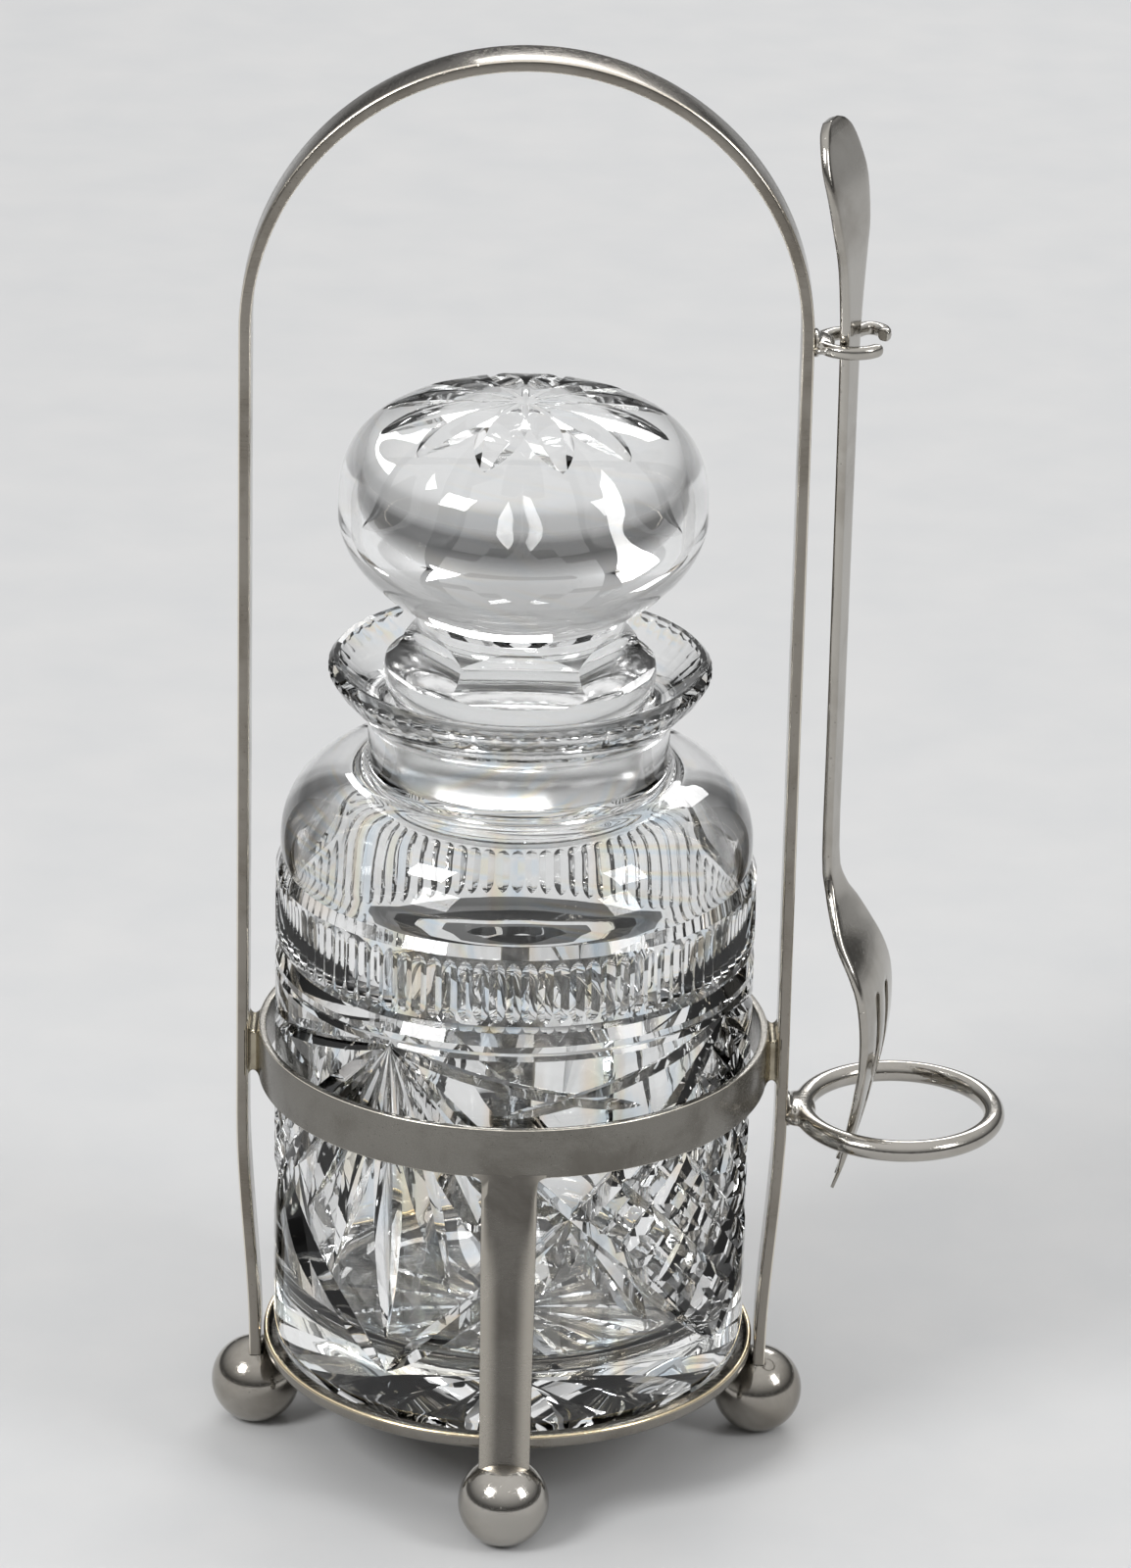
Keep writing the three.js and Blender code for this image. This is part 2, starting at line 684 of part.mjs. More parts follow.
// Saucer, ground bore and inside of the jar, as one outline that is taken out of it.
function jarCavity() {
  const inner = jarRadius - jarWall;
  const corner = [inner - floorCornerRadius, jarFloor + floorCornerRadius];
  const bowl = arcPoints(corner, floorCornerRadius, floorCornerRadius, -Math.PI / 2, 0, 3);
  const edge = boreBottomRadius + 1.5;
  const rise = boreBottom - upperGroove - 3;
  const ceiling = arcPoints([edge, upperGroove], inner - edge, rise, 0, Math.PI / 2, 4);
  const lip = rimRadius - rimWidth;
  return [
    [0, jarFloor], ...bowl, ...ceiling, [boreBottomRadius, boreBottom - 0.8],
    [boreTopRadius, boreTop - 0.8], [boreTopRadius + 0.8, boreTop], [boreTopRadius + 4, boreTop + 1.4],
    [lip - 2.2, jarHeight - 2.8], [lip, jarHeight], [lip, jarHeight + 1], [0, jarHeight + 1],
  ];
}

function jar() {
  const cuts = [flutes(), rimFlats(), revolve(jarCavity(), cavitySegments), ...baseStar()];
  for (let i = 0; i < lozengeCount; i += 1) {
    const angle = Math.PI * 2 * i / lozengeCount - Math.PI / 2;
    cuts.push(...edgeMitres(angle), ...star(angle));
    cuts.push(...(i % 2 === 0 ? spears(angle) : diamonds(angle)));
  }
  return revolve(jarOutline(), jarSegments).subtract(wasm.Manifold.union(cuts));
}

// Height of the top of the stopper's head, at a distance from the axis.
function headTop(radius) {
  const share = 1 - (radius / headRadius) ** headUpperFullness;
  return headMiddle + headUpperRise * share ** (1 / headUpperFullness);
}

// A curve round half of the head, from one angle to another.
function headCurve(rise, fullness, from, to, steps) {
  const power = 2 / fullness;
  return each(steps + 1, (i) => {
    const angle = lerp(from, to, i / steps);
    return [
      headRadius * Math.abs(Math.cos(angle)) ** power,
      headMiddle + rise * Math.sign(angle) * Math.abs(Math.sin(angle)) ** power,
    ];
  });
}

function stopperOutline() {
  const plugTop = boreTopRadius - plugClearance;
  const plugEnd = boreBottomRadius - plugClearance;
  const curve = [shoulderRadius - shoulderDepth, shoulderMiddle];
  const round = arcPoints(curve, shoulderDepth, shoulderRise, degToRad(-48), degToRad(72), 6);
  const neck = stopperNeckRadius;
  const lower = headCurve(headLowerRise, headLowerFullness, -Math.PI / 2 * 0.58, 0, 5);
  const upper = headCurve(headUpperRise, headUpperFullness, 0, Math.PI / 2, 6).slice(1);
  upper[upper.length - 1][0] = 0;
  return [
    [0, -boreDepth - jointGap], [plugEnd - 1, -boreDepth - jointGap], [plugEnd, 1 - boreDepth],
    [plugTop, -1], [plugTop, 0], ...round, [neck, stopperNeckHeight - 1], [neck, stopperNeckHeight],
    ...lower, ...upper,
  ];
}

// Hollow panels cut across the top of the stopper's shoulder.
function neckPanels() {
  return each(neckPanelCount, (i) => {
    const wheel = new THREE.CylinderGeometry(neckPanelRadius, neckPanelRadius, shoulderRadius * 2, 28);
    const reach = stopperNeckRadius - neckPanelInset + neckPanelRadius;
    wheel.translate(reach, 0, stopperNeckHeight - neckPanelDrop);
    wheel.rotateZ(-Math.PI / 2 + Math.PI * 2 * i / neckPanelCount);
    return solid(wheel);
  });
}

function stopper() {
  const leaves = each(headLeaves, (i) => {
    const angle = Math.PI * 2 * (i + 0.5) / headLeaves;
    return ray(angle, headLeafStart, headLeafReach, headLeafWidth, headLeafDepth, headTop, 6);
  });
  const cuts = wasm.Manifold.union([...neckPanels(), ...leaves]);
  return revolve(stopperOutline(), stopperSegments).subtract(cuts);
}

const set = new THREE.Group();
set.position.x = -middleX;

function add(name, body, look, x = 0, y = 0, z = 0, turn = 0) {
  const mesh = body.getMesh();
  const geometry = new THREE.BufferGeometry();
  geometry.setAttribute('position', new THREE.BufferAttribute(mesh.vertProperties, 3));
  geometry.setIndex(new THREE.BufferAttribute(mesh.triVerts, 1));
  geometry.computeVertexNormals();
  const part = new THREE.Mesh(geometry, new THREE.MeshStandardMaterial(look));
  part.name = name;
  part.position.set(x, y, z);
  part.rotation.z = turn;
  set.add(part);
}

add('handle', handle(), silver);
add('front_leg', leg(), satinSilver);
add('back_leg', leg(), satinSilver, 0, 0, 0, Math.PI);
add('band', band(), satinSilver);
add('left_solder', solder(), silver, 0, 0, 0, Math.PI);
add('right_solder', solder(), silver);
add('base_plate', basePlate(), silver);
add('front_foot', foot(), silver, 0, -footCircleRadius);
add('back_foot', foot(), silver, 0, footCircleRadius);
add('left_foot', foot(), silver, -footCircleRadius);
add('right_foot', foot(), silver, footCircleRadius);
add('fork_clip', forkClip(), silver);
add('fork_ring', forkRing(), silver);
add('fork', fork(), silver);
add('jar', jar(), crystal, 0, 0, plateFloor + jointGap, patternTurn);
add('stopper', stopper(), crystal, 0, 0, plateFloor + jointGap + boreTop + jointGap);

export default set;
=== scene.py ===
import math

import bmesh
import bpy
from mathutils import Matrix, Vector


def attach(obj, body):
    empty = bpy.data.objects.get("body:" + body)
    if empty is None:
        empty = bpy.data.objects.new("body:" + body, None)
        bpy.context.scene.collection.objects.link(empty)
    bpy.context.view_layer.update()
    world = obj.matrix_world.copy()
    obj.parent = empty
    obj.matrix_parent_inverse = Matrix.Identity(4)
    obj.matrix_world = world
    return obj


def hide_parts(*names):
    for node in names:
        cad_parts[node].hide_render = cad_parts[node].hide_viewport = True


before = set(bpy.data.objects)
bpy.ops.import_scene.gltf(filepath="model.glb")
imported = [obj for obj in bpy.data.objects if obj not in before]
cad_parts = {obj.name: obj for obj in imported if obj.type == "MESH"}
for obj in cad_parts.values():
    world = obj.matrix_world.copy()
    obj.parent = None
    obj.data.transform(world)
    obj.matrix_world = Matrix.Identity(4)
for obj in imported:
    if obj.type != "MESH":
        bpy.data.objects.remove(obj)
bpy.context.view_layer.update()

# Everything is modelled in millimetres round the jar's own axis, and put in its place in metres at the end.
MM = 0.001
JAR_AXIS_X = -16.975

# Stand
BALL_RADIUS = 7.9
BALL_CENTRE_Z = 7.46
BALL_TOP = 15.36
STRIP_WIDTH = 9.5
STRIP_FOOT_WIDTH = 8.8
STRIP_THICKNESS = 2.1
STRIP_CORNER = 0.5
STRIP_FOOT_Z = 14.2
HANDLE_RADIUS = 47.25
HANDLE_DRAW_IN = 2.4
FOOT_CIRCLE = 44.85
DRAW_IN_Z = 62.0
ARCH_SPRING_Z = 205.7
BAND_BOTTOM = 69.0
BAND_TOP = 78.0
BAND_INSIDE = 43.3
BAND_OUTSIDE = 44.6
UPRIGHT_FACE = 46.2
PLATE_BOTTOM = 16.2
PLATE_FLOOR = 17.2
PLATE_EDGE = 43.45
PLATE_LIP_TOP = 19.2

# Fork and what holds it
RING_CENTRE_X = 68.0
RING_RADIUS = 16.95
RING_WIRE = 1.75
RING_Z = 62.6
CLIP_Z = 204.5
CLIP_WIRE = 2.2
CLIP_ARM_RADIUS = 5.35
FORK_X = 54.7
FORK_TURN = math.radians(20)
FORK_TOP = 243.0
FORK_TIP = 51.0
FORK_THICKNESS = 1.7
BOWL_HALF_WIDTH = 9.7
TINES_ACROSS = 15.0
SLOT_WIDTH = 2.5
SLOT_TOP = FORK_TIP + 35.7

# Jar and stopper
JAR_BASE = 17.5
JAR_RADIUS = 41.7
JOINT_BOTTOM = 125.8
JOINT_TOP = 138.6
PATTERN_TURN = math.radians(-30)
LOZENGE_TOP = 89.5
LOZENGE_BOTTOM = 27.6
FLUTES = 96
STAR_RAYS = 16
RIM_CUTS = 54
NECK_PANELS = 6
HEAD_RADIUS = 31.5
HEAD_MIDDLE_Z = 172.7
HEAD_UPPER = 20.4
HEAD_LOWER = 21.3
HEAD_UPPER_FULLNESS = 3.0
HEAD_LOWER_FULLNESS = 1.8


# Ways of working

def show_only(piece):
    bpy.ops.object.select_all(action="DESELECT")
    piece.select_set(True)
    bpy.context.view_layer.objects.active = piece


def take_up(piece, action="DESELECT"):
    """Goes into edit mode, with nothing of the piece selected or all of it."""
    show_only(piece)
    bpy.ops.object.mode_set(mode="EDIT")
    bpy.ops.mesh.select_all(action=action)


def put_down():
    bpy.ops.object.mode_set(mode="OBJECT")


def close_up():
    """Ends the work in edit mode: nothing is double, and all faces look out."""
    bpy.ops.mesh.select_all(action="SELECT")
    bpy.ops.mesh.remove_doubles(threshold=0.001)
    bpy.ops.mesh.normals_make_consistent(inside=False)
    put_down()


def settle(piece):
    show_only(piece)
    bpy.ops.object.transform_apply(location=True, rotation=True, scale=True)


def added(add, name, scale=(1, 1, 1), **values):
    """What a primitive operator adds, by itself, with its place and scale in its mesh."""
    bpy.ops.object.select_all(action="DESELECT")
    add(**values)
    piece = bpy.context.object
    piece.name = name
    piece.data.name = name
    piece.scale = scale
    settle(piece)
    return piece


def pick(piece, wanted):
    """In edit mode, selects the vertices whose place is wanted, and what lies between them."""
    bpy.ops.mesh.select_all(action="DESELECT")
    shape = bmesh.from_edit_mesh(piece.data)
    for vertex in shape.verts:
        vertex.select = bool(wanted(vertex.co))
    shape.select_flush(True)
    bmesh.update_edit_mesh(piece.data)


def finish_with(piece, kind, **values):
    """Adds a modifier and applies it."""
    show_only(piece)
    modifier = piece.modifiers.new(kind.lower(), kind)
    for name, value in values.items():
        setattr(modifier, name, value)
    bpy.ops.object.modifier_apply(modifier=modifier.name)


def soften(piece, width, segments, angle):
    """Bevels the edges that are sharper than an angle in degrees."""
    finish_with(piece, "BEVEL", width=width, segments=segments, limit_method="ANGLE",
                angle_limit=math.radians(angle))


def twin_of(piece):
    """A copy with its own mesh."""
    twin = piece.copy()
    twin.data = piece.data.copy()
    bpy.context.collection.objects.link(twin)
    return twin


def turned_copy(piece, name, turn):
    """A copy with its own name, turned about the jar's axis."""
    twin = twin_of(piece)
    twin.name = name
    twin.data.name = name
    twin.rotation_euler = (0, 0, turn)
    settle(twin)
    return twin


def joined(pieces):
    bpy.ops.object.select_all(action="DESELECT")
    for piece in pieces:
        piece.select_set(True)
    bpy.context.view_layer.objects.active = pieces[0]
    bpy.ops.object.transform_apply(location=True, rotation=True, scale=True)
    bpy.ops.object.join()
    return bpy.context.object


def cut_away(piece, cutter, solver="MANIFOLD"):
    finish_with(piece, "BOOLEAN", operation="DIFFERENCE", object=cutter, solver=solver)
    bpy.data.objects.remove(cutter)


def arc(centre, across, rise, start, end, steps):
    """[radius, height] points on an arc, from one angle in degrees to another."""
    points = []
    for step in range(steps + 1):
        angle = math.radians(start + (end - start) * step / steps)
        points.append((centre[0] + across * math.cos(angle), centre[1] + rise * math.sin(angle)))
    return points


def on_circle(radius, angle, z):
    """A place at a radius from the jar's axis."""
    return (radius * math.cos(angle), radius * math.sin(angle), z)


def blend(value, low, high):
    """0 below low, 1 above high and smooth between."""
    share = min(max((value - low) / (high - low), 0), 1)
    return share * share * (3 - 2 * share)


def smooth_path(points, steps):
    """More points between the given ones, on a smooth curve through them."""
    points = [Vector(point) for point in points]
    curve = []
    for i in range(len(points) - 1):
        before = points[max(i - 1, 0)]
        start, end = points[i], points[i + 1]
        after = points[min(i + 2, len(points) - 1)]
        for step in range(steps):
            t = step / steps
            curve.append(0.5 * (2 * start + (end - before) * t
                                + (2 * before - 5 * start + 4 * end - after) * t ** 2
                                + (3 * start - before - 3 * end + after) * t ** 3))
    curve.append(points[-1])
    return curve


def draw_loop(start, end):
    """Draws the selected loop from one [radius, height] point to the next, and closes it on the axis."""
    bpy.ops.mesh.extrude_edges_move(TRANSFORM_OT_translate={"value": (0, 0, end[1] - start[1])})
    if end[0] == 0:
        bpy.ops.mesh.merge(type="CENTER")
    else:
        grow = end[0] / start[0]
        bpy.ops.transform.resize(value=(grow, grow, 1), center_override=(0, 0, end[1]))


def turned(name, outline, segments):
    """A piece turned on a lathe, from [radius, height] points that run from its base to its axis."""
    piece = added(bpy.ops.mesh.primitive_circle_add, name, vertices=segments, radius=outline[0][0],
                  fill_type="TRIFAN", location=(0, 0, outline[0][1]))
    take_up(piece, "SELECT")
    bpy.ops.mesh.region_to_loop()
    for start, end in zip(outline, outline[1:]):
        draw_loop(start, end)
    close_up()
    return piece


def hoop(name, section, segments):
    """A ring with a closed section, given as [radius, height] points."""
    piece = added(bpy.ops.mesh.primitive_circle_add, name, vertices=segments, radius=section[0][0],
                  fill_type="NOTHING", location=(0, 0, section[0][1]))
    take_up(piece, "SELECT")
    for start, end in zip(section, section[1:] + section[:1]):
        draw_loop(start, end)
    close_up()
    return piece


def bar_end(name, thickness, width, corner, columns=0):
    """The flat end of a bar, facing up: its thickness along X, its width along Y, its corners rounded.

    Columns are lines along the bar, evenly spaced over its width.
    """
    piece = added(bpy.ops.mesh.primitive_plane_add, name, (thickness, width, 1), size=1)
    take_up(piece, "SELECT")
    bpy.ops.mesh.bevel(offset=corner, segments=4, affect="VERTICES")
    for column in range(1, columns + 1):
        across = column / (columns + 1) - 0.5
        bpy.ops.mesh.select_all(action="SELECT")
        bpy.ops.mesh.bisect(plane_co=(0, across * (width - 2 * corner), 0), plane_no=(0, 1, 0))
    bpy.ops.mesh.select_all(action="SELECT")
    return piece


def draw_along(path, sizes):
    """Draws the selected end face along [x, z] points, turned to their run.

    Sizes are [thickness, width] shares of the end face, one for each point.
    """
    def heading(i):
        before = path[max(i - 1, 0)]
        after = path[min(i + 1, len(path) - 1)]
        return math.atan2(after[0] - before[0], after[1] - before[1])

    start = (path[0][0], 0, path[0][1])
    bpy.ops.transform.translate(value=start)
    bpy.ops.transform.rotate(value=-heading(0), orient_axis="Y", center_override=start)
    resize_end(start, heading(0), sizes[0][0], sizes[0][1])
    for i in range(1, len(path)):
        place = (path[i][0], 0, path[i][1])
        step = (path[i][0] - path[i - 1][0], 0, path[i][1] - path[i - 1][1])
        bpy.ops.mesh.extrude_region_move(TRANSFORM_OT_translate={"value": step})
        bpy.ops.transform.rotate(value=heading(i - 1) - heading(i), orient_axis="Y", center_override=place)
        resize_end(place, heading(i), sizes[i][0] / sizes[i - 1][0], sizes[i][1] / sizes[i - 1][1])


def resize_end(place, heading, thickness, width):
    """Resizes the selected end face about its place, across its own run."""
    if thickness == 1 and width == 1:
        return
    turned_back = Matrix.Rotation(heading, 3, "Y")
    bpy.ops.transform.resize(value=(thickness, width, 1), orient_type="GLOBAL", orient_matrix=turned_back,
                             orient_matrix_type="GLOBAL", center_override=place)


def lump(place, half_sizes):
    """A round lump of solder."""
    return added(bpy.ops.mesh.primitive_ico_sphere_add, "lump", half_sizes, subdivisions=3, radius=1,
                 location=place)


def melt(pieces, name, grain, ease):
    """Pieces soldered into one, with soft fillets where they meet."""
    piece = joined(pieces)
    piece.name = name
    piece.data.name = name
    finish_with(piece, "REMESH", mode="VOXEL", voxel_size=grain)
    finish_with(piece, "SMOOTH", factor=0.5, iterations=ease)
    return piece


# Materials

WHITE = (1.0, 1.0, 1.0)


def new_material(name, inputs):
    """A material, its nodes and its shader, with plain values on the shader."""
    material = bpy.data.materials.new(name)
    material.use_nodes = True
    tree = material.node_tree
    shader = tree.nodes["Principled BSDF"]
    for label, value in inputs.items():
        shader.inputs[label].default_value = value
    return material, tree, shader


def socketed(name, inputs, outputs):
    """An empty node group. An input with no value is a vector, and all else is a number."""
    group = bpy.data.node_groups.new(name, "ShaderNodeTree")
    for label, value in inputs.items():
        kind = "NodeSocketVector" if value is None else "NodeSocketFloat"
        socket = group.interface.new_socket(label, in_out="INPUT", socket_type=kind)
        if value is not None:
            socket.default_value = value
    for label in outputs:
        group.interface.new_socket(label, in_out="OUTPUT", socket_type="NodeSocketFloat")
    return group


def node(tree, kind, at, inputs=None, **settings):
    """A node at its place in the tree, with its settings and the values of its inputs."""
    made = tree.nodes.new(kind)
    made.location = at
    for name, value in settings.items():
        setattr(made, name, value)
    for label, value in (inputs or {}).items():
        made.inputs[label].default_value = value
    return made


def maths(tree, at, operation, inputs=None, **settings):
    return node(tree, "ShaderNodeMath", at, inputs, operation=operation, **settings)


def eased(tree, at, inputs=None):
    """A map range that starts and ends gently."""
    return node(tree, "ShaderNodeMapRange", at, inputs, interpolation_type="SMOOTHSTEP")


def ramp(tree, at, stops):
    """A colour ramp of [place, grey or colour] stops."""
    made = node(tree, "ShaderNodeValToRGB", at)
    elements = made.color_ramp.elements
    while len(elements) < len(stops):
        elements.new(0.5)
    for element, (place, shade) in zip(elements, stops):
        element.position = place
        element.color = (shade, shade, shade, 1) if isinstance(shade, (int, float)) else (*shade, 1)
    return made


def link(tree, *runs):
    """Links nodes, each run given as a node, its output, the next node and its input."""
    for source, outlet, target, inlet in runs:
        tree.links.new(source.outputs[outlet], target.inputs[inlet])


def hairline_group():
    """Fine hairlines from years of polishing, in three directions."""
    directions = (((0.2, 0.1, 0.4), 22), ((1.1, 0.5, 1.9), 30), ((0.3, 1.3, 2.6), 16))
    tree = socketed("polishing_hairlines", {"Place": None, "Scale": 300.0, "Strength": 1.0}, ["Lines"])
    given = node(tree, "NodeGroupInput", (-900, 0))
    result = node(tree, "NodeGroupOutput", (700, 0))
    last = None
    for i, (turn, stretch) in enumerate(directions):
        mapping = node(tree, "ShaderNodeMapping", (-700, -300 * i),
                       {"Rotation": turn, "Scale": (1, stretch, stretch * 0.8)})
        noise = node(tree, "ShaderNodeTexNoise", (-500, -300 * i), {"Detail": 3, "Roughness": 0.65})
        thin = ramp(tree, (-300, -300 * i), [(0.60, 0.0), (0.67, 1.0), (0.71, 0.15)])
        link(tree, (given, "Place", mapping, "Vector"), (mapping, "Vector", noise, "Vector"),
             (given, "Scale", noise, "Scale"), (noise, "Fac", thin, "Fac"))
        if last is None:
            last = (thin, "Color")
        else:
            most = maths(tree, (0, -300 * i), "MAXIMUM")
            link(tree, (*last, most, 0), (thin, "Color", most, 1))
            last = (most, "Value")
    scaled = maths(tree, (400, 0), "MULTIPLY")
    link(tree, (*last, scaled, 0), (given, "Strength", scaled, 1), (scaled, "Value", result, "Lines"))
    return tree


def tarnish_group():
    """Cloudy patches of tarnish and worn plate, and small pits."""
    inputs = {"Place": None, "Patch scale": 60.0, "Amount": 0.5, "Pit scale": 900.0}
    tree = socketed("tarnish_and_pits", inputs, ["Tarnish", "Pits"])
    given = node(tree, "NodeGroupInput", (-900, 0))
    result = node(tree, "NodeGroupOutput", (900, 0))
    cloud = node(tree, "ShaderNodeTexNoise", (-600, 200), {"Detail": 7, "Roughness": 0.62, "Distortion": 0.5})
    spread = eased(tree, (-300, 200), {"From Min": 0.42, "From Max": 0.72})
    amount = maths(tree, (0, 200), "MULTIPLY")
    pit = node(tree, "ShaderNodeTexVoronoi", (-600, -200))
    hole = eased(tree, (-300, -200), {"From Min": 0.16, "From Max": 0.05})
    sparse = node(tree, "ShaderNodeTexNoise", (-600, -500), {"Scale": 130})
    few = node(tree, "ShaderNodeMapRange", (-300, -500), {"From Min": 0.52, "From Max": 0.62})
    pits = maths(tree, (0, -300), "MULTIPLY")
    link(tree, (given, "Place", cloud, "Vector"), (given, "Patch scale", cloud, "Scale"),
         (cloud, "Fac", spread, "Value"), (spread, "Result", amount, 0), (given, "Amount", amount, 1),
         (amount, "Value", result, "Tarnish"))
    link(tree, (given, "Place", pit, "Vector"), (given, "Pit scale", pit, "Scale"),
         (pit, "Distance", hole, "Value"), (given, "Place", sparse, "Vector"), (sparse, "Fac", few, "Value"),
         (hole, "Result", pits, 0), (few, "Result", pits, 1), (pits, "Value", result, "Pits"))
    return tree


def edge_mask_group():
    """A mask from one part of a normal or a place: a painted sheen along rounded edges, and on the tray the
    gold top of its lip.

    The mask is full between two values of that part, on either side of 0.
    """
    tree = socketed("edge_sheen_and_gilt", {"Part": 0.0, "Starts": 0.15, "Full": 0.5, "Fades": 0.75, "Ends": 0.97},
                    ["Mask"])
    given = node(tree, "NodeGroupInput", (-700, 0))
    result = node(tree, "NodeGroupOutput", (500, 0))
    size = maths(tree, (-500, 0), "ABSOLUTE")
    rise = eased(tree, (-200, 150))
    fall = eased(tree, (-200, -150), {"To Min": 1.0, "To Max": 0.0})
    both = maths(tree, (200, 0), "MULTIPLY")
    link(tree, (given, "Part", size, 0), (size, "Value", rise, "Value"), (size, "Value", fall, "Value"),
         (given, "Starts", rise, "From Min"), (given, "Full", rise, "From Max"),
         (given, "Fades", fall, "From Min"), (given, "Ends", fall, "From Max"),
         (rise, "Result", both, 0), (fall, "Result", both, 1), (both, "Value", result, "Mask"))
    return tree


def plated(name, bright, dull, polish, rough, patches, amount, lines, dents, painted_sheen_and_gilt=None):
    """A plated metal: bright and dull colours, roughness where polished and where dull, hairlines and pits.

    The edge mask is given as its colour, "Normal" or "Object", the axis and the four values of the mask; it
    lays a painted sheen along edges, and on the tray the gold top of its lip.
    """
    line_roughness, line_depth, pit_depth = 0.22, 0.03, 0.3
    material, tree, shader = new_material(name, {"Metallic": 1.0})
    place = node(tree, "ShaderNodeTexCoord", (-1300, 0))
    tarnish = node(tree, "ShaderNodeGroup", (-1000, 200), {"Patch scale": patches, "Amount": amount},
                   node_tree=tarnish_nodes)
    hairlines = node(tree, "ShaderNodeGroup", (-1000, -200), {"Strength": lines}, node_tree=hairline_nodes)
    colour = node(tree, "ShaderNodeMix", (-600, 300), {"A": (*bright, 1), "B": (*dull, 1)}, data_type="RGBA")
    roughness = node(tree, "ShaderNodeMapRange", (-600, 0), {"To Min": polish, "To Max": rough})
    worn = maths(tree, (-350, -50), "MULTIPLY_ADD", {1: line_roughness}, use_clamp=True)
    uneven = node(tree, "ShaderNodeTexNoise", (-1000, -500), {"Scale": 110, "Detail": 2})
    pitted = maths(tree, (-700, -400), "MULTIPLY", {1: -pit_depth})
    height = maths(tree, (-500, -400), "MULTIPLY_ADD", {1: dents})
    sunk = maths(tree, (-350, -400), "MULTIPLY_ADD", {1: -line_depth})
    bump = node(tree, "ShaderNodeBump", (-180, -300), {"Strength": 0.6, "Distance": 0.0003})
    link(tree, (place, "Object", tarnish, "Place"), (place, "Object", hairlines, "Place"),
         (place, "Object", uneven, "Vector"), (tarnish, "Tarnish", colour, "Factor"))
    finish = colour
    # Painted sheen: a lighter colour mixed in where the normal turns along one axis; the tray uses a height
    # instead, for the gold top of its lip.
    if painted_sheen_and_gilt:
        sheen_and_gilt_colour, source, axis, values = painted_sheen_and_gilt
        parts = node(tree, "ShaderNodeSeparateXYZ", (-1000, 600))
        limits = dict(zip(("Starts", "Full", "Fades", "Ends"), values))
        mask = node(tree, "ShaderNodeGroup", (-700, 600), limits, node_tree=edge_mask_nodes)
        finish = node(tree, "ShaderNodeMix", (-350, 400), {"B": (*sheen_and_gilt_colour, 1)}, data_type="RGBA")
        link(tree, (place, source, parts, "Vector"), (parts, axis, mask, "Part"),
             (mask, "Mask", finish, "Factor"), (colour, "Result", finish, "A"))
    link(tree, (finish, "Result", shader, "Base Color"), (tarnish, "Tarnish", roughness, "Value"),
         (hairlines, "Lines", worn, 0), (roughness, "Result", worn, 2), (worn, "Value", shader, "Roughness"))
    link(tree, (tarnish, "Pits", pitted, 0), (uneven, "Fac", height, 0), (pitted, "Value", height, 2),
         (hairlines, "Lines", sunk, 0), (height, "Value", sunk, 2), (sunk, "Value", bump, "Height"),
         (bump, "Normal", shader, "Normal"))
    return material


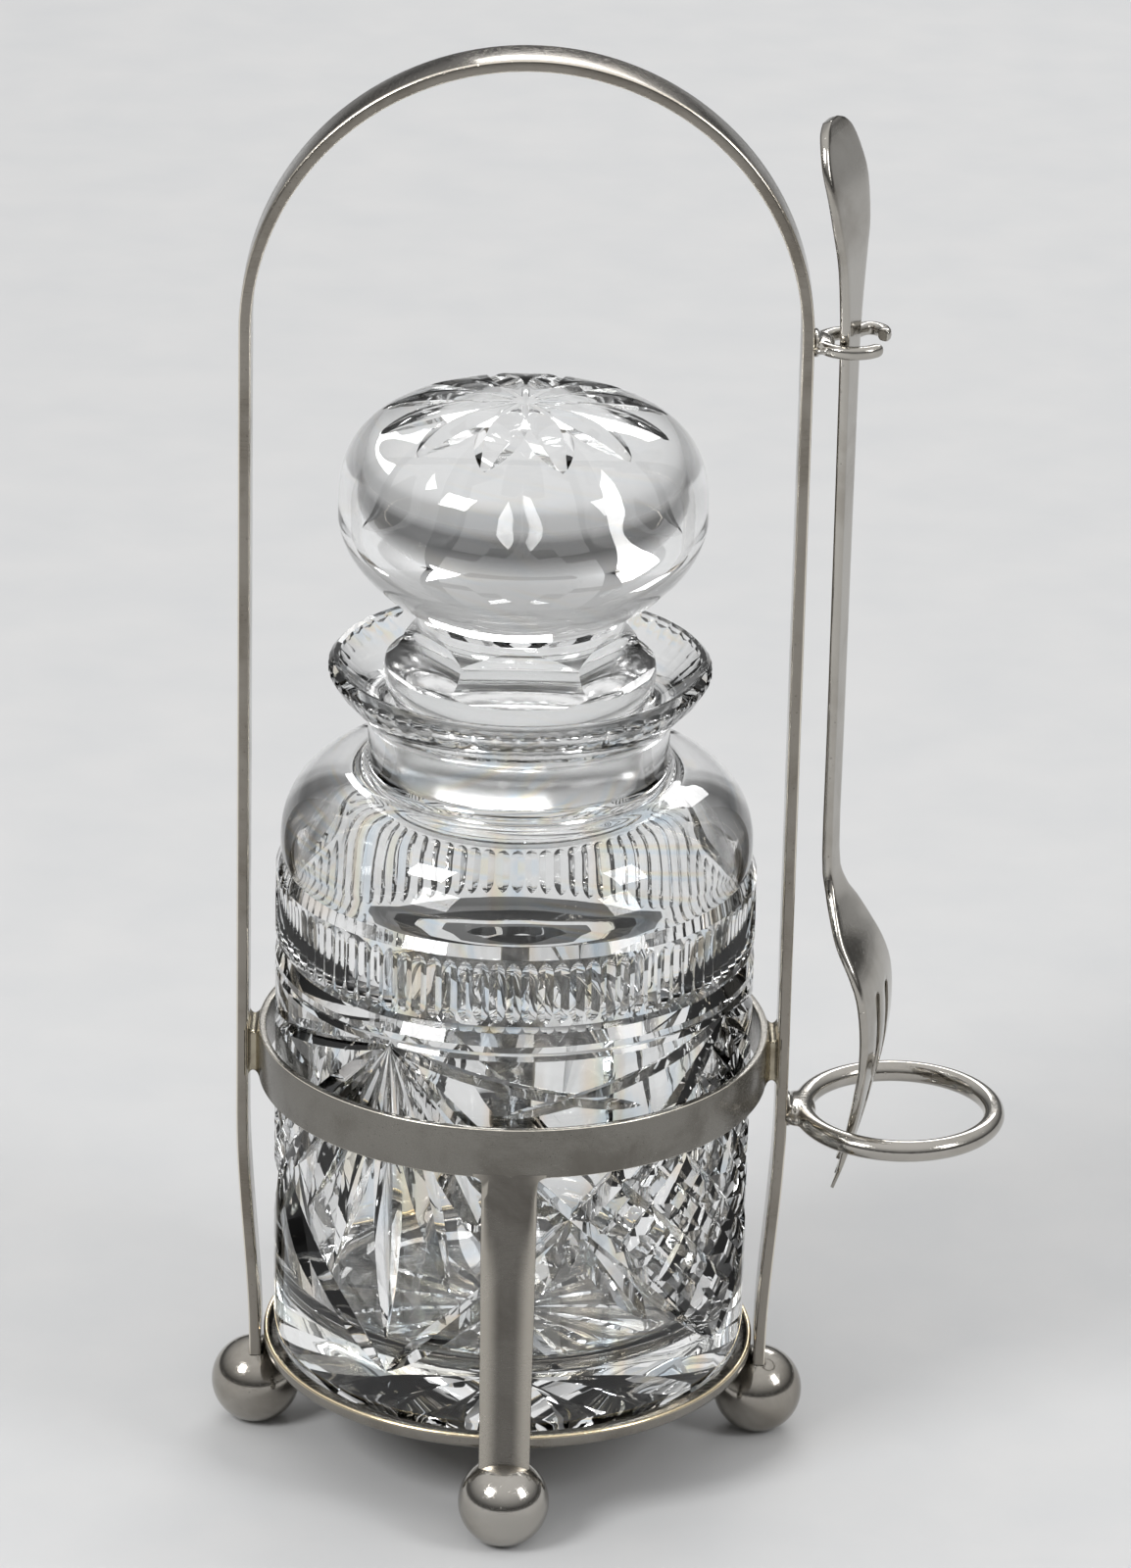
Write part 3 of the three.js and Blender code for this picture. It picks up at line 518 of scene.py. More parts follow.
def cut_crystal(name, ground_from, ground_to, ground_radius, painted_rainbow):
    """Clear lead crystal, ground dull on the joint between jar and stopper, with faint painted prism colours
    in patches, by the way each face is turned, for the fire of cut glass.

    The ground part lies between two heights and inside a radius, in millimetres.
    """
    refraction, ground_roughness = 1.56, 0.16
    material, tree, shader = new_material(name, {"Transmission Weight": 1.0, "IOR": refraction})
    place = node(tree, "ShaderNodeTexCoord", (-1500, 0))
    centred = node(tree, "ShaderNodeMapping", (-1300, 0), {"Location": (-JAR_AXIS_X * MM, 0, 0)})
    parts = node(tree, "ShaderNodeSeparateXYZ", (-1100, 0))
    flat = node(tree, "ShaderNodeVectorMath", (-1100, -250), {1: (1, 1, 0)}, operation="MULTIPLY")
    radius = node(tree, "ShaderNodeVectorMath", (-900, -250), operation="LENGTH")
    inside = maths(tree, (-700, -250), "LESS_THAN", {1: ground_radius * MM})
    above = maths(tree, (-700, 0), "GREATER_THAN", {1: ground_from * MM})
    below = maths(tree, (-700, 200), "LESS_THAN", {1: ground_to * MM})
    both = maths(tree, (-500, 100), "MULTIPLY")
    ground = maths(tree, (-300, 0), "MULTIPLY")
    faint = node(tree, "ShaderNodeTexNoise", (-700, 450), {"Scale": 70, "Detail": 4})
    tint = ramp(tree, (-500, 450), [(0.3, (0.985, 0.992, 0.99)), (0.7, WHITE)])
    # Painted glint: prism colours mixed into the glass colour by the direction the surface faces, in noisy
    # patches.
    facing = node(tree, "ShaderNodeVectorMath", (-1100, 700), {1: (2.2, 1.6, 3.4)}, operation="DOT_PRODUCT")
    turns = maths(tree, (-900, 700), "FRACT")
    painted_glints = ramp(tree, (-700, 700), [(0.30, WHITE), (0.40, (0.72, 0.86, 1.0)), (0.50, (0.88, 0.95, 1.0)),
                                      (0.58, (1.0, 0.95, 0.70)), (0.66, (1.0, 0.83, 0.66)), (0.74, WHITE)])
    scatter = node(tree, "ShaderNodeTexNoise", (-1100, 950), {"Scale": 55})
    painted_glint_amount = eased(tree, (-900, 950), {"From Min": 0.46, "From Max": 0.60, "To Max": painted_rainbow})
    tint_and_painted_glint = node(tree, "ShaderNodeMix", (-300, 600), data_type="RGBA", blend_type="MULTIPLY")
    roughness = node(tree, "ShaderNodeMapRange", (-100, 0), {"To Max": ground_roughness})
    wave = node(tree, "ShaderNodeTexNoise", (-500, -500), {"Scale": 90, "Detail": 1})
    bump = node(tree, "ShaderNodeBump", (-200, -500), {"Strength": 0.10, "Distance": 0.0004})
    link(tree, (place, "Object", centred, "Vector"), (centred, "Vector", parts, "Vector"),
         (centred, "Vector", flat, 0), (flat, "Vector", radius, 0), (radius, "Value", inside, 0),
         (parts, "Z", above, 0), (parts, "Z", below, 0), (above, "Value", both, 0), (below, "Value", both, 1),
         (both, "Value", ground, 0), (inside, "Value", ground, 1), (ground, "Value", roughness, "Value"),
         (roughness, "Result", shader, "Roughness"))
    link(tree, (place, "Object", faint, "Vector"), (faint, "Fac", tint, "Fac"), (place, "Normal", facing, 0),
         (facing, "Value", turns, 0), (turns, "Value", painted_glints, "Fac"), (place, "Object", scatter, "Vector"),
         (scatter, "Fac", painted_glint_amount, "Value"), (painted_glint_amount, "Result", tint_and_painted_glint, "Factor"), (tint, "Color", tint_and_painted_glint, "A"),
         (painted_glints, "Color", tint_and_painted_glint, "B"), (tint_and_painted_glint, "Result", shader, "Base Color"))
    link(tree, (place, "Object", wave, "Vector"), (wave, "Fac", bump, "Height"),
         (bump, "Normal", shader, "Normal"))
    return material


hairline_nodes = hairline_group()
tarnish_nodes = tarnish_group()
edge_mask_nodes = edge_mask_group()
# All plate colours are set much darker than bright plate, as painted dark reflections; the legs are the
# darkest.
polished_plate = plated("polished_plate", (0.44, 0.42, 0.385), (0.19, 0.165, 0.13), polish=0.04, rough=0.20,
                        patches=45, amount=0.5, lines=0.4, dents=0.06)
# The strip's narrow faces and their rounded corners are lightened by the mask: a painted highlight.
strip_plate = plated("strip_plate", (0.27, 0.25, 0.22), (0.13, 0.11, 0.085), polish=0.10, rough=0.32,
                     patches=55, amount=0.6, lines=0.8, dents=0.10,
                     painted_sheen_and_gilt=((0.85, 0.79, 0.69), "Normal", "Y", (0.12, 0.45, 0.75, 0.96)))
# The legs are lighter on their domed sides and dark down the middle: painted shading of the dome.
leg_plate = plated("leg_plate", (0.165, 0.155, 0.14), (0.085, 0.077, 0.066), polish=0.26, rough=0.42,
                   patches=75, amount=0.6, lines=1.0, dents=0.16,
                   painted_sheen_and_gilt=((0.46, 0.43, 0.38), "Normal", "X", (0.05, 0.17, 0.9, 1.0)))
# The band's rounded top and bottom edges are lightened: a thin painted highlight.
band_plate = plated("band_plate", (0.22, 0.21, 0.19), (0.105, 0.095, 0.08), polish=0.20, rough=0.38,
                    patches=60, amount=0.6, lines=1.0, dents=0.16,
                    painted_sheen_and_gilt=((0.90, 0.85, 0.75), "Normal", "Z", (0.25, 0.6, 0.85, 0.98)))
tray_plate = plated("tray_plate", (0.25, 0.235, 0.21), (0.12, 0.105, 0.085), polish=0.14, rough=0.34,
                    patches=60, amount=0.6, lines=0.8, dents=0.10,
                    painted_sheen_and_gilt=((0.88, 0.75, 0.52), "Object", "Z",
                            ((PLATE_LIP_TOP - 0.6) * MM, (PLATE_LIP_TOP - 0.2) * MM, 0.5, 0.6)))
gilt_solder = plated("gilt_solder", (0.36, 0.325, 0.25), (0.17, 0.14, 0.095), polish=0.12, rough=0.34,
                     patches=160, amount=0.8, lines=0.6, dents=0.4)
jar_crystal = cut_crystal("jar_crystal", JOINT_BOTTOM, JOINT_TOP, 21.3, painted_rainbow=1.0)
stopper_crystal = cut_crystal("stopper_crystal", 126.8, 138.8, 20.8, painted_rainbow=0.2)


def place_piece(piece, material, body, node_name, sharp=35):
    """Puts a finished piece in its place in metres, with its finish, on its body, for its CAD node."""
    piece.location = (JAR_AXIS_X * MM, 0, 0)
    piece.scale = (MM, MM, MM)
    settle(piece)
    bpy.ops.object.shade_smooth_by_angle(angle=math.radians(sharp))
    piece.data.materials.clear()
    piece.data.materials.append(material)
    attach(piece, body)
    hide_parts(node_name)


# Stand

def upright_x(z):
    """The middle of an upright, which is drawn in towards its foot."""
    return HANDLE_RADIUS - HANDLE_DRAW_IN * (1 - blend(z, BALL_TOP, DRAW_IN_Z))


def strip_share(z):
    """The share of its full width that the strip has left, as it narrows towards its foot."""
    return (STRIP_FOOT_WIDTH + (STRIP_WIDTH - STRIP_FOOT_WIDTH) * blend(z, BALL_TOP, DRAW_IN_Z)) / STRIP_WIDTH


def leg_x(z):
    """The middle of a leg, which leans in from its foot to the band."""
    lean = BAND_OUTSIDE - STRIP_THICKNESS / 2 - FOOT_CIRCLE
    return FOOT_CIRCLE + lean * (z - BALL_TOP) / (BAND_BOTTOM - BALL_TOP)


def make_handle():
    """Bent from one strip: half of it is drawn up from its foot and round the arch, then mirrored."""
    steps = 14
    handle = bar_end("handle_strip", STRIP_THICKNESS, STRIP_WIDTH, STRIP_CORNER)
    heights = [STRIP_FOOT_Z + (DRAW_IN_Z - STRIP_FOOT_Z) * i / steps for i in range(steps + 1)]
    heights += [110, 160, ARCH_SPRING_Z]
    draw_along([(upright_x(z), z) for z in heights], [(1, strip_share(z)) for z in heights])
    bpy.ops.mesh.spin(steps=48, angle=math.pi / 2, center=(0, 0, ARCH_SPRING_Z), axis=(0, 1, 0))
    pick(handle, lambda place: place.x < 0.01)
    bpy.ops.mesh.delete(type="ONLY_FACE")
    put_down()
    finish_with(handle, "MIRROR", use_axis=(True, False, False), merge_threshold=0.01)
    take_up(handle)
    close_up()
    return handle


def make_legs():
    """The two legs: a domed strip that flares with a fillet into the band, flush with it."""
    fillet, crown, columns = 1.5, 0.38, 7
    flattens, flat = 52, 66
    top = BAND_BOTTOM
    leg = bar_end("leg_strip", STRIP_THICKNESS, STRIP_WIDTH, STRIP_CORNER, columns)
    domed = [STRIP_FOOT_Z, 25, 40, 50, 55, 60, 64]
    heights = domed + [top - fillet]
    heights += [top - fillet * (1 - math.sin(math.radians(angle))) for angle in (15, 30, 45, 60, 72, 82, 90)]
    sizes = []
    for z in heights:
        rise = max(0, z - (top - fillet))
        flare = fillet - math.sqrt(max(fillet ** 2 - rise ** 2, 0))
        sizes.append((1, strip_share(z) + 2 * flare / STRIP_WIDTH))
    heights.append(top + 0.6)
    sizes.append(sizes[-1])
    draw_along([(leg_x(z), z) for z in heights], sizes)
    for column in range(1, columns + 1):
        across = column / (columns + 1) - 0.5
        side = across * (STRIP_WIDTH - 2 * STRIP_CORNER)
        for z in domed:
            dome = crown * (1 - (2 * across) ** 2) * (1 - blend(z, flattens, flat))
            pick(leg, lambda place: place.x > leg_x(place.z) and abs(place.z - z) < 0.6
                 and abs(place.y / strip_share(place.z) - side) < 0.25)
            bpy.ops.transform.translate(value=(dome, 0, 0))
    close_up()
    face, beyond = BAND_OUTSIDE + 0.02, 52
    trim = hoop("trim", [(face, top + 3), (face, top - 0.2), (BAND_OUTSIDE + 0.75, top - 10),
                         (beyond, top - 10), (beyond, top + 3)], 240)
    cut_away(leg, trim)
    front = turned_copy(leg, "front_leg_strip", -math.pi / 2)
    back = turned_copy(leg, "back_leg_strip", math.pi / 2)
    bpy.data.objects.remove(leg)
    return front, back


def make_band():
    """The flat hoop round the jar, with soft edges."""
    soft = 0.22
    corners = ((BAND_OUTSIDE - soft, BAND_BOTTOM + soft), (BAND_OUTSIDE - soft, BAND_TOP - soft),
               (BAND_INSIDE + soft, BAND_TOP - soft), (BAND_INSIDE + soft, BAND_BOTTOM + soft))
    section = []
    for corner, start in zip(corners, (-90, 0, 90, 180)):
        section += arc(corner, soft, soft, start, start + 90, 3)
    return hoop("jar_band", section, 192)


def make_saddles():
    """Solder between the band and the right upright, run out along both, and its copy on the left."""
    middle = (BAND_BOTTOM + BAND_TOP) / 2
    centre_x = (BAND_OUTSIDE + UPRIGHT_FACE) / 2
    length = UPRIGHT_FACE - BAND_OUTSIDE + 2.0
    waist_width, waist_height = 4.3, 3.7
    upright_run, band_run = (0.45, 1.6), (1.3, 0.7)
    cuts = 11
    saddle = added(bpy.ops.mesh.primitive_cube_add, "right_saddle", (length, 2, 2), size=1,
                   location=(centre_x, 0, middle))
    take_up(saddle, "SELECT")
    bpy.ops.mesh.subdivide(number_cuts=cuts)
    for column in range(cuts + 2):
        across = column * 2 / (cuts + 1) - 1
        reach = min(abs(across) * 1.5, 1) ** 2.2
        wider, taller = upright_run if across > 0 else band_run
        pick(saddle, lambda place: abs(place.x - centre_x - across * length / 2) < 0.05)
        bpy.ops.transform.resize(value=(1, waist_width + wider * reach, waist_height + taller * reach),
                                 center_override=(0, 0, middle))
    close_up()
    soften(saddle, 0.9, 4, 60)
    deep, face = 40, BAND_OUTSIDE - 0.15
    hollow = hoop("hollow", [(deep, BAND_BOTTOM - 9), (face, BAND_BOTTOM - 9), (face, BAND_TOP + 6),
                             (deep, BAND_TOP + 6)], 240)
    cut_away(saddle, hollow)
    return saddle, turned_copy(saddle, "left_saddle", math.pi)


def make_plate():
    """The plate that carries the jar, with a round lip."""
    edge, lip = PLATE_EDGE, PLATE_LIP_TOP
    bend, bend_rise, bead = 2.0, 1.4, 0.45
    outline = [(4, PLATE_BOTTOM), (30, PLATE_BOTTOM), (edge - bend, PLATE_BOTTOM)]
    outline += arc((edge - bend, PLATE_BOTTOM + bend_rise), bend, bend_rise, -90, 0, 5)[1:]
    outline += arc((edge - bead, lip - bead), bead, bead, 0, 180, 6)
    outline += [(edge - 1.0, PLATE_FLOOR + 0.9), (edge - 1.4, PLATE_FLOOR + 0.25), (edge - 2.2, PLATE_FLOOR),
                (30, PLATE_FLOOR), (4, PLATE_FLOOR), (0, PLATE_FLOOR)]
    return turned("jar_tray", outline, 160)


def make_ball(name, x, y):
    """A ball foot, flat where it stands."""
    ball = added(bpy.ops.mesh.primitive_uv_sphere_add, name, segments=64, ring_count=40, radius=BALL_RADIUS,
                 location=(x, y, BALL_CENTRE_Z))
    take_up(ball, "SELECT")
    bpy.ops.mesh.bisect(plane_co=(0, 0, 0), plane_no=(0, 0, -1), use_fill=True, clear_outer=True)
    close_up()
    return ball


# Fork, its clip and its ring

def make_ring():
    """A ring of wire, webbed to the upright with solder. Melting thins the wire, so it starts thicker."""
    thinning = 0.14
    section = arc((RING_RADIUS - thinning, 0), RING_WIRE + thinning, RING_WIRE + thinning, 0, 345, 23)
    wire = hoop("wire", section, 120)
    wire.location = (RING_CENTRE_X, 0, RING_Z)
    settle(wire)
    root_x = upright_x(RING_Z) + STRIP_THICKNESS / 2
    ring_x = RING_CENTRE_X - RING_RADIUS
    web = lump(((root_x + ring_x) / 2 + 0.5, 0, RING_Z), ((ring_x - root_x) / 2 + 2.0, 6.4, 1.9))
    root = lump((root_x + 0.3, 0, RING_Z), (1.0, 4.9, 2.7))
    drop = lump((root_x + 0.9, -3.6, RING_Z + 0.5), (1.0, 1.3, 1.5))
    return melt([wire, web, root, drop], "fork_ring_wire", 0.2, 6)


def make_clip():
    """A thick wire bent round the stem, webbed to the upright with solder.

    One arm hooks round in front, and the other is swept out and back behind.
    """
    reach = CLIP_ARM_RADIUS + 0.1
    around = arc((FORK_X, 0), reach, reach, 330, 84, 34)
    back_curl = smooth_path([around[-1], (56.2, 6.9), (57.6, 8.2), (59.2, 7.9), (60.3, 6.6), (60.5, 5.2),
                             (60.1, 4.4)], 4)
    points = around + back_curl[1:]
    arms = bar_end("arms", CLIP_WIRE, CLIP_WIRE, 0.8)
    draw_along(points, [(0.55, 0.55), (0.9, 0.9)] + [(1, 1)] * (len(points) - 3) + [(0.9, 0.9)])
    close_up()
    arms.rotation_euler = (-math.pi / 2, 0, 0)
    arms.location = (0, 0, CLIP_Z)
    settle(arms)
    root_x = upright_x(CLIP_Z) + STRIP_THICKNESS / 2
    web = lump((root_x + 1.2, 0, CLIP_Z), (2.4, 5.4, 1.25))
    root = lump((root_x + 0.4, 0, CLIP_Z), (1.0, 4.6, 2.2))
    return melt([arms, web, root], "fork_clip_arms", 0.16, 4)


def fork_stations():
    """[height, half width, bend] of the fork, from the top of its handle down to its tips."""
    paddle_width, paddle_bend, bowl_bend, tines_width = 9.1, 5.2, 9.5, 7.5
    paddle = [(0, 0.20, -1), (0.6, 0.42, -0.95), (1.4, 0.6, -0.88), (3.1, 0.79, -0.75), (6.6, 0.96, -0.56),
              (11.3, 1, -0.31), (18.4, 0.86, -0.12), (23, 0.68, -0.07)]
    places = [(FORK_TOP - drop, paddle_width * wide, paddle_bend * bend) for drop, wide, bend in paddle]
    places += [(FORK_TOP - 28, 4.9, -0.3), (206, 3.5, -0.3), (190, 3.05, -0.3), (165, 2.75, -0.3),
               (135, 2.55, -0.3), (FORK_TIP + 61, 2.55, -0.3)]
    bowl = [(54.7, 0.37, 0.08), (50.8, 0.63, 0.26), (46.6, 0.86, 0.48), (42.2, 0.97, 0.75), (37.8, 1, 0.93),
            (31.7, 0.99, 1), (25, 0.96, 0.97)]
    places += [(FORK_TIP + rise, BOWL_HALF_WIDTH * wide, bowl_bend * bend) for rise, wide, bend in bowl]
    tines = [(18.2, 1.14, 0.84), (11.5, 1.1, 0.68), (4.8, 1.04, 0.49), (0, 1, 0.305)]
    places += [(FORK_TIP + rise, tines_width * wide, bowl_bend * bend) for rise, wide, bend in tines]
    return smooth_path(places, 3)


def make_fork():
    """Forged from one blank: drawn to its outline, hollowed and twisted below, and slit into three tines."""
    blank, shaped, hollow, twist = 10, 60, 1.2, math.radians(14)
    stations = fork_stations()
    fork = bar_end("fork_silver", FORK_THICKNESS, blank, 0.6, columns=7)
    thinned = [0.3 + 0.7 * blend(z, FORK_TIP - 2, FORK_TIP + 14) for z, _, _ in stations]
    draw_along([(bend, z) for z, _, bend in stations],
               [(thin, wide / (blank / 2)) for thin, (_, wide, _) in zip(thinned, stations)])
    for z, wide, bend in stations:
        if z > FORK_TIP + shaped:
            continue
        deep = hollow * (wide / BOWL_HALF_WIDTH) ** 3
        for low, high in ((0.86, 1.2), (0.55, 0.86), (0.3, 0.55)):
            sink = deep * ((low + min(high, 1)) / 2) ** 2
            pick(fork, lambda place: abs(place.z - z) < 0.9 and low < abs(place.y) / wide <= high
                 and abs(place.x - bend) < 1.6)
            bpy.ops.transform.translate(value=(-sink * 0.5, 0, 0))
        pick(fork, lambda place: abs(place.z - z) < 0.9)
        bpy.ops.transform.rotate(value=-twist * (1 - (z - FORK_TIP) / shaped) ** 1.5, orient_axis="Z",
                                 center_override=(bend, 0, z))
    close_up()
    pitch = (TINES_ACROSS + SLOT_WIDTH) / 3
    for i in (-0.5, 0.5):
        cut_away(fork, slot_between_tines(i * pitch), "EXACT")
    for i in (-1.5, -0.5, 0.5, 1.5):
        cut_away(fork, notch_between_points(i * pitch, pitch), "EXACT")
    soften(fork, 0.22, 2, 50)
    fork.rotation_euler = (0, 0, -FORK_TURN)
    fork.location = (FORK_X, 0, 0)
    settle(fork)
    return fork


def slot_between_tines(side):
    """A cutter for the slot between two tines, round at its upper end."""
    slot = added(bpy.ops.mesh.primitive_cylinder_add, "slot", vertices=24, radius=SLOT_WIDTH / 2, depth=40,
                 location=(0, side, SLOT_TOP), rotation=(0, math.pi / 2, 0))
    take_up(slot)
    pick(slot, lambda place: place.z < SLOT_TOP - 0.01)
    bpy.ops.transform.translate(value=(0, 0, -40))
    close_up()
    return slot


def notch_between_points(side, pitch):
    """A cutter that leaves the tines pointed."""
    notch = added(bpy.ops.mesh.primitive_cube_add, "notch", (40, pitch - 0.7, 11), size=1,
                  location=(0, side, FORK_TIP + 3.5))
    take_up(notch)
    pick(notch, lambda place: place.z > FORK_TIP + 5)
    bpy.ops.transform.resize(value=(1, 0.02, 1), center_override=(0, side, FORK_TIP + 9))
    close_up()
    return notch


# Cut glass

def spindle(name, fullness, rings):
    """A wheel's mark: a four-sided body, pointed at both ends, that stays wide for longer if it is fuller."""
    mark = added(bpy.ops.mesh.primitive_uv_sphere_add, name, segments=4, ring_count=rings, radius=1)
    take_up(mark)
    for ring in range(1, rings):
        z = math.cos(math.pi * ring / rings)
        share = (1 - abs(z) ** fullness) / math.sqrt(1 - z * z)
        pick(mark, lambda place: abs(place.z - z) < 0.01)
        bpy.ops.transform.resize(value=(share, share, 1), center_override=(0, 0, z))
    put_down()
    return mark


def cutting_wheels():
    """The marks of the two wheels: a lens, and a line that stays wide for most of its length."""
    return spindle("lens", 2.0, 16), spindle("line", 8.0, 24)


def laid(wheel, place, turn, scale):
    mark = twin_of(wheel)
    mark.location = place
    mark.rotation_euler = turn
    mark.scale = scale
    return mark


def flat_mark(wheel, start, end, size):
    """A wheel's mark of a [width, depth] size, laid flat between two [along, height] places."""
    along, rise = end[0] - start[0], end[1] - start[1]
    return laid(wheel, ((start[0] + end[0]) / 2, 0, (start[1] + end[1]) / 2),
                (0, math.atan2(along, rise), 0), (size[0] / 2, size[1], math.hypot(along, rise) / 2))


def wrapped(marks):
    """Marks laid flat, joined and bent round the wall of the jar."""
    sheet = joined(marks)
    finish_with(sheet, "SIMPLE_DEFORM", deform_method="BEND", deform_axis="Z",
                angle=sheet.dimensions.x / JAR_RADIUS)
    sheet.location = (0, -JAR_RADIUS, 0)
    settle(sheet)
    return sheet


def in_lozenge(number, right, left):
    """A place in a lozenge of the pattern, from its top corner along its two upper edges."""
    half_width = JAR_RADIUS * math.pi / 4
    half_height = (LOZENGE_TOP - LOZENGE_BOTTOM) / 2
    return (number * 2 * half_width + (right - left) * half_width, LOZENGE_TOP - (right + left) * half_height)


def jar_cuts(lens, line):
    """The marks of the jar's pattern, in groups that don't touch within themselves."""
    edge, cross, spear, blade, short_spear = (4.4, 1.8), (2.4, 1.15), (5.8, 1.6), (6.6, 2.0), (3.2, 1.1)
    deep_hatch, fine_hatch, flute = (4.2, 1.75), (1.8, 0.7), (2.75, 0.8)
    cross_run, blade_run = math.radians(62) * JAR_RADIUS, math.radians(20.3) * JAR_RADIUS
    cross_drop, blade_drop, short_drop = 10.5, 21, 8
    flute_bottom, flute_top = 96.4, 107.6
    groups = {}

    def cut(group, *mark):
        groups.setdefault(group, []).append(flat_mark(*mark))

    for number in range(4):
        top, corner = in_lozenge(number, 0, 0), in_lozenge(number, 1, 0)
        cut("edge_right", line, top, in_lozenge(number, 2, 0), edge)
        cut("edge_left", line, top, in_lozenge(number, 0, 2), edge)
        cut("cross_right", line, top, (top[0] + cross_run, LOZENGE_TOP - cross_drop), cross)
        cut("cross_left", line, top, (top[0] - cross_run, LOZENGE_TOP - cross_drop), cross)
        if number % 2 == 0:
            for ray in range(7):
                share = (ray + 1) / 8
                reach = 0.91 / max(share, 1 - share)
                cut(f"spear_{ray}", lens, top, in_lozenge(number, share * reach, (1 - share) * reach), spear)
        else:
            for row in range(1, 8):
                share = row / 8
                hatch = deep_hatch if row % 2 == 0 else fine_hatch
                cut("hatch_right", line, in_lozenge(number, share, 0), in_lozenge(number, share, 1), hatch)
                cut("hatch_left", line, in_lozenge(number, 0, share), in_lozenge(number, 1, share), hatch)
        for side in (-1, 1):
            cut(f"blade_{side}", lens, corner, (corner[0] + side * blade_run, corner[1] - blade_drop), blade)
        cut("short_spear", lens, corner, (corner[0], corner[1] - short_drop), short_spear)
    girth = 2 * math.pi * JAR_RADIUS
    for number in range(FLUTES):
        along = number / FLUTES * girth
        cut("flute", line, (along, flute_bottom), (along, flute_top), flute)
    return groups


def base_star(lens):
    """Rays cut as a star under the base."""
    middle, half_sizes = 20.5, (1.9, 2.9, 17.5)
    rays = []
    for ray in range(STAR_RAYS):
        angle = math.pi * 2 * ray / STAR_RAYS
        rays.append(laid(lens, on_circle(middle, angle, JAR_BASE), (0, math.pi / 2, angle), half_sizes))
    return joined(rays)


def rim_marks(lens, radius, height, lean, length, depth, turn):
    """A row of short mitred cuts round the flare of the rim, turned by a share of the space between two."""
    half_width = 1.8
    row = []
    for number in range(RIM_CUTS):
        angle = 2 * math.pi * (number + turn) / RIM_CUTS
        row.append(laid(lens, on_circle(radius, angle, height), (0, math.radians(lean), angle),
                        (depth, half_width, length / 2)))
    return joined(row)


def make_jar():
    """The jar, turned outside and inside, then cut with its pattern, its star and its rim."""
    full = JAR_RADIUS
    wall_bottom, wall_top, wall_steps = 21.5, 89.4, 12
    bore, bore_bottom, bore_top, bore_steps = 36.1, 34, 110, 6
    outside = [(38.9, JAR_BASE), (39.6, 17.6), (41.0, 19.0), (41.5, 20.2), (full, wall_bottom)]
    outside += [(full, wall_bottom + (wall_top - wall_bottom) * step / wall_steps)
                for step in range(1, wall_steps + 1)]
    outside += [(full - 0.5, 90.2), (full, 91.0), (full, 92.1), (full - 1.3, 94), (full, 95.9), (full, 102),
                (full, 108.1), (full - 1.3, 110), (40.9, 111.9)]
    outside += arc((29, 113.8), 11.9, 13.0, 0, 90, 16)
    outside += arc((29, 129.8), 3, 3, 270, 180, 5)[1:]
    outside += [(26, 134), (26.3, 136), (27.2, 137.6), (31.3, 141.9), (32.9, 144.5), (32.9, 145.7),
                (32.0, 146.6)]
    inside = [(31.2, 146.4), (31.0, 145.8), (28.8, 143.8), (24.9, 140.8), (21.7, 139.4), (20.9, JOINT_TOP),
              (20.2, JOINT_BOTTOM), (20.6, 124.2)]
    inside += arc((21.7, bore_top), 14.4, 12.6, 88, 0, 14)
    inside += [(bore, bore_bottom + (bore_top - bore_bottom) * (1 - step / bore_steps))
               for step in range(1, bore_steps)]
    inside += arc((29.1, bore_bottom), 7, 7, 0, -90, 7)
    inside += [(20, 26.8), (10, 26.5), (0, 26.4)]
    jar = turned("jar_glass", outside + inside, 160)
    lens, line = cutting_wheels()
    for marks in jar_cuts(lens, line).values():
        cut_away(jar, wrapped(marks))
    cut_away(jar, base_star(lens))
    cut_away(jar, rim_marks(lens, radius=31.95, height=142.75, lean=32, length=4.6, depth=0.20, turn=0))
    cut_away(jar, rim_marks(lens, radius=32.8, height=144.9, lean=8, length=3.6, depth=0.28, turn=0.5))
    bpy.data.objects.remove(lens)
    bpy.data.objects.remove(line)
    jar.rotation_euler = (0, 0, PATTERN_TURN)
    settle(jar)
    return jar


def head_curve(rise, fullness, start, end, steps):
    """[radius, height] points of half of the stopper's head, fuller than an ellipse over 2."""
    points = []
    power = 2 / fullness
    for step in range(steps + 1):
        angle = math.radians(start + (end - start) * step / steps)
        up = math.copysign(abs(math.sin(angle)) ** power, angle)
        points.append((HEAD_RADIUS * abs(math.cos(angle)) ** power, HEAD_MIDDLE_Z + rise * up))
    return points


def head_top(radius):
    """The height of the crown of the head at a distance from its middle."""
    share = 1 - (abs(radius) / HEAD_RADIUS) ** HEAD_UPPER_FULLNESS
    return HEAD_MIDDLE_Z + HEAD_UPPER * share ** (1 / HEAD_UPPER_FULLNESS)


def crown_mark(wheel, start, end, width, depth, angle):
    """A wheel's mark that lies on the crown of the head, from one distance from its middle to another."""
    low, high = head_top(end), head_top(start)
    middle = (start + end) / 2
    height = head_top(middle) * 0.35 + (low + high) / 2 * 0.65
    return laid(wheel, on_circle(middle, angle, height),
                (0, math.pi / 2 + math.atan2(high - low, end - start), angle),
                (depth, width / 2, math.hypot(high - low, end - start) / 2))


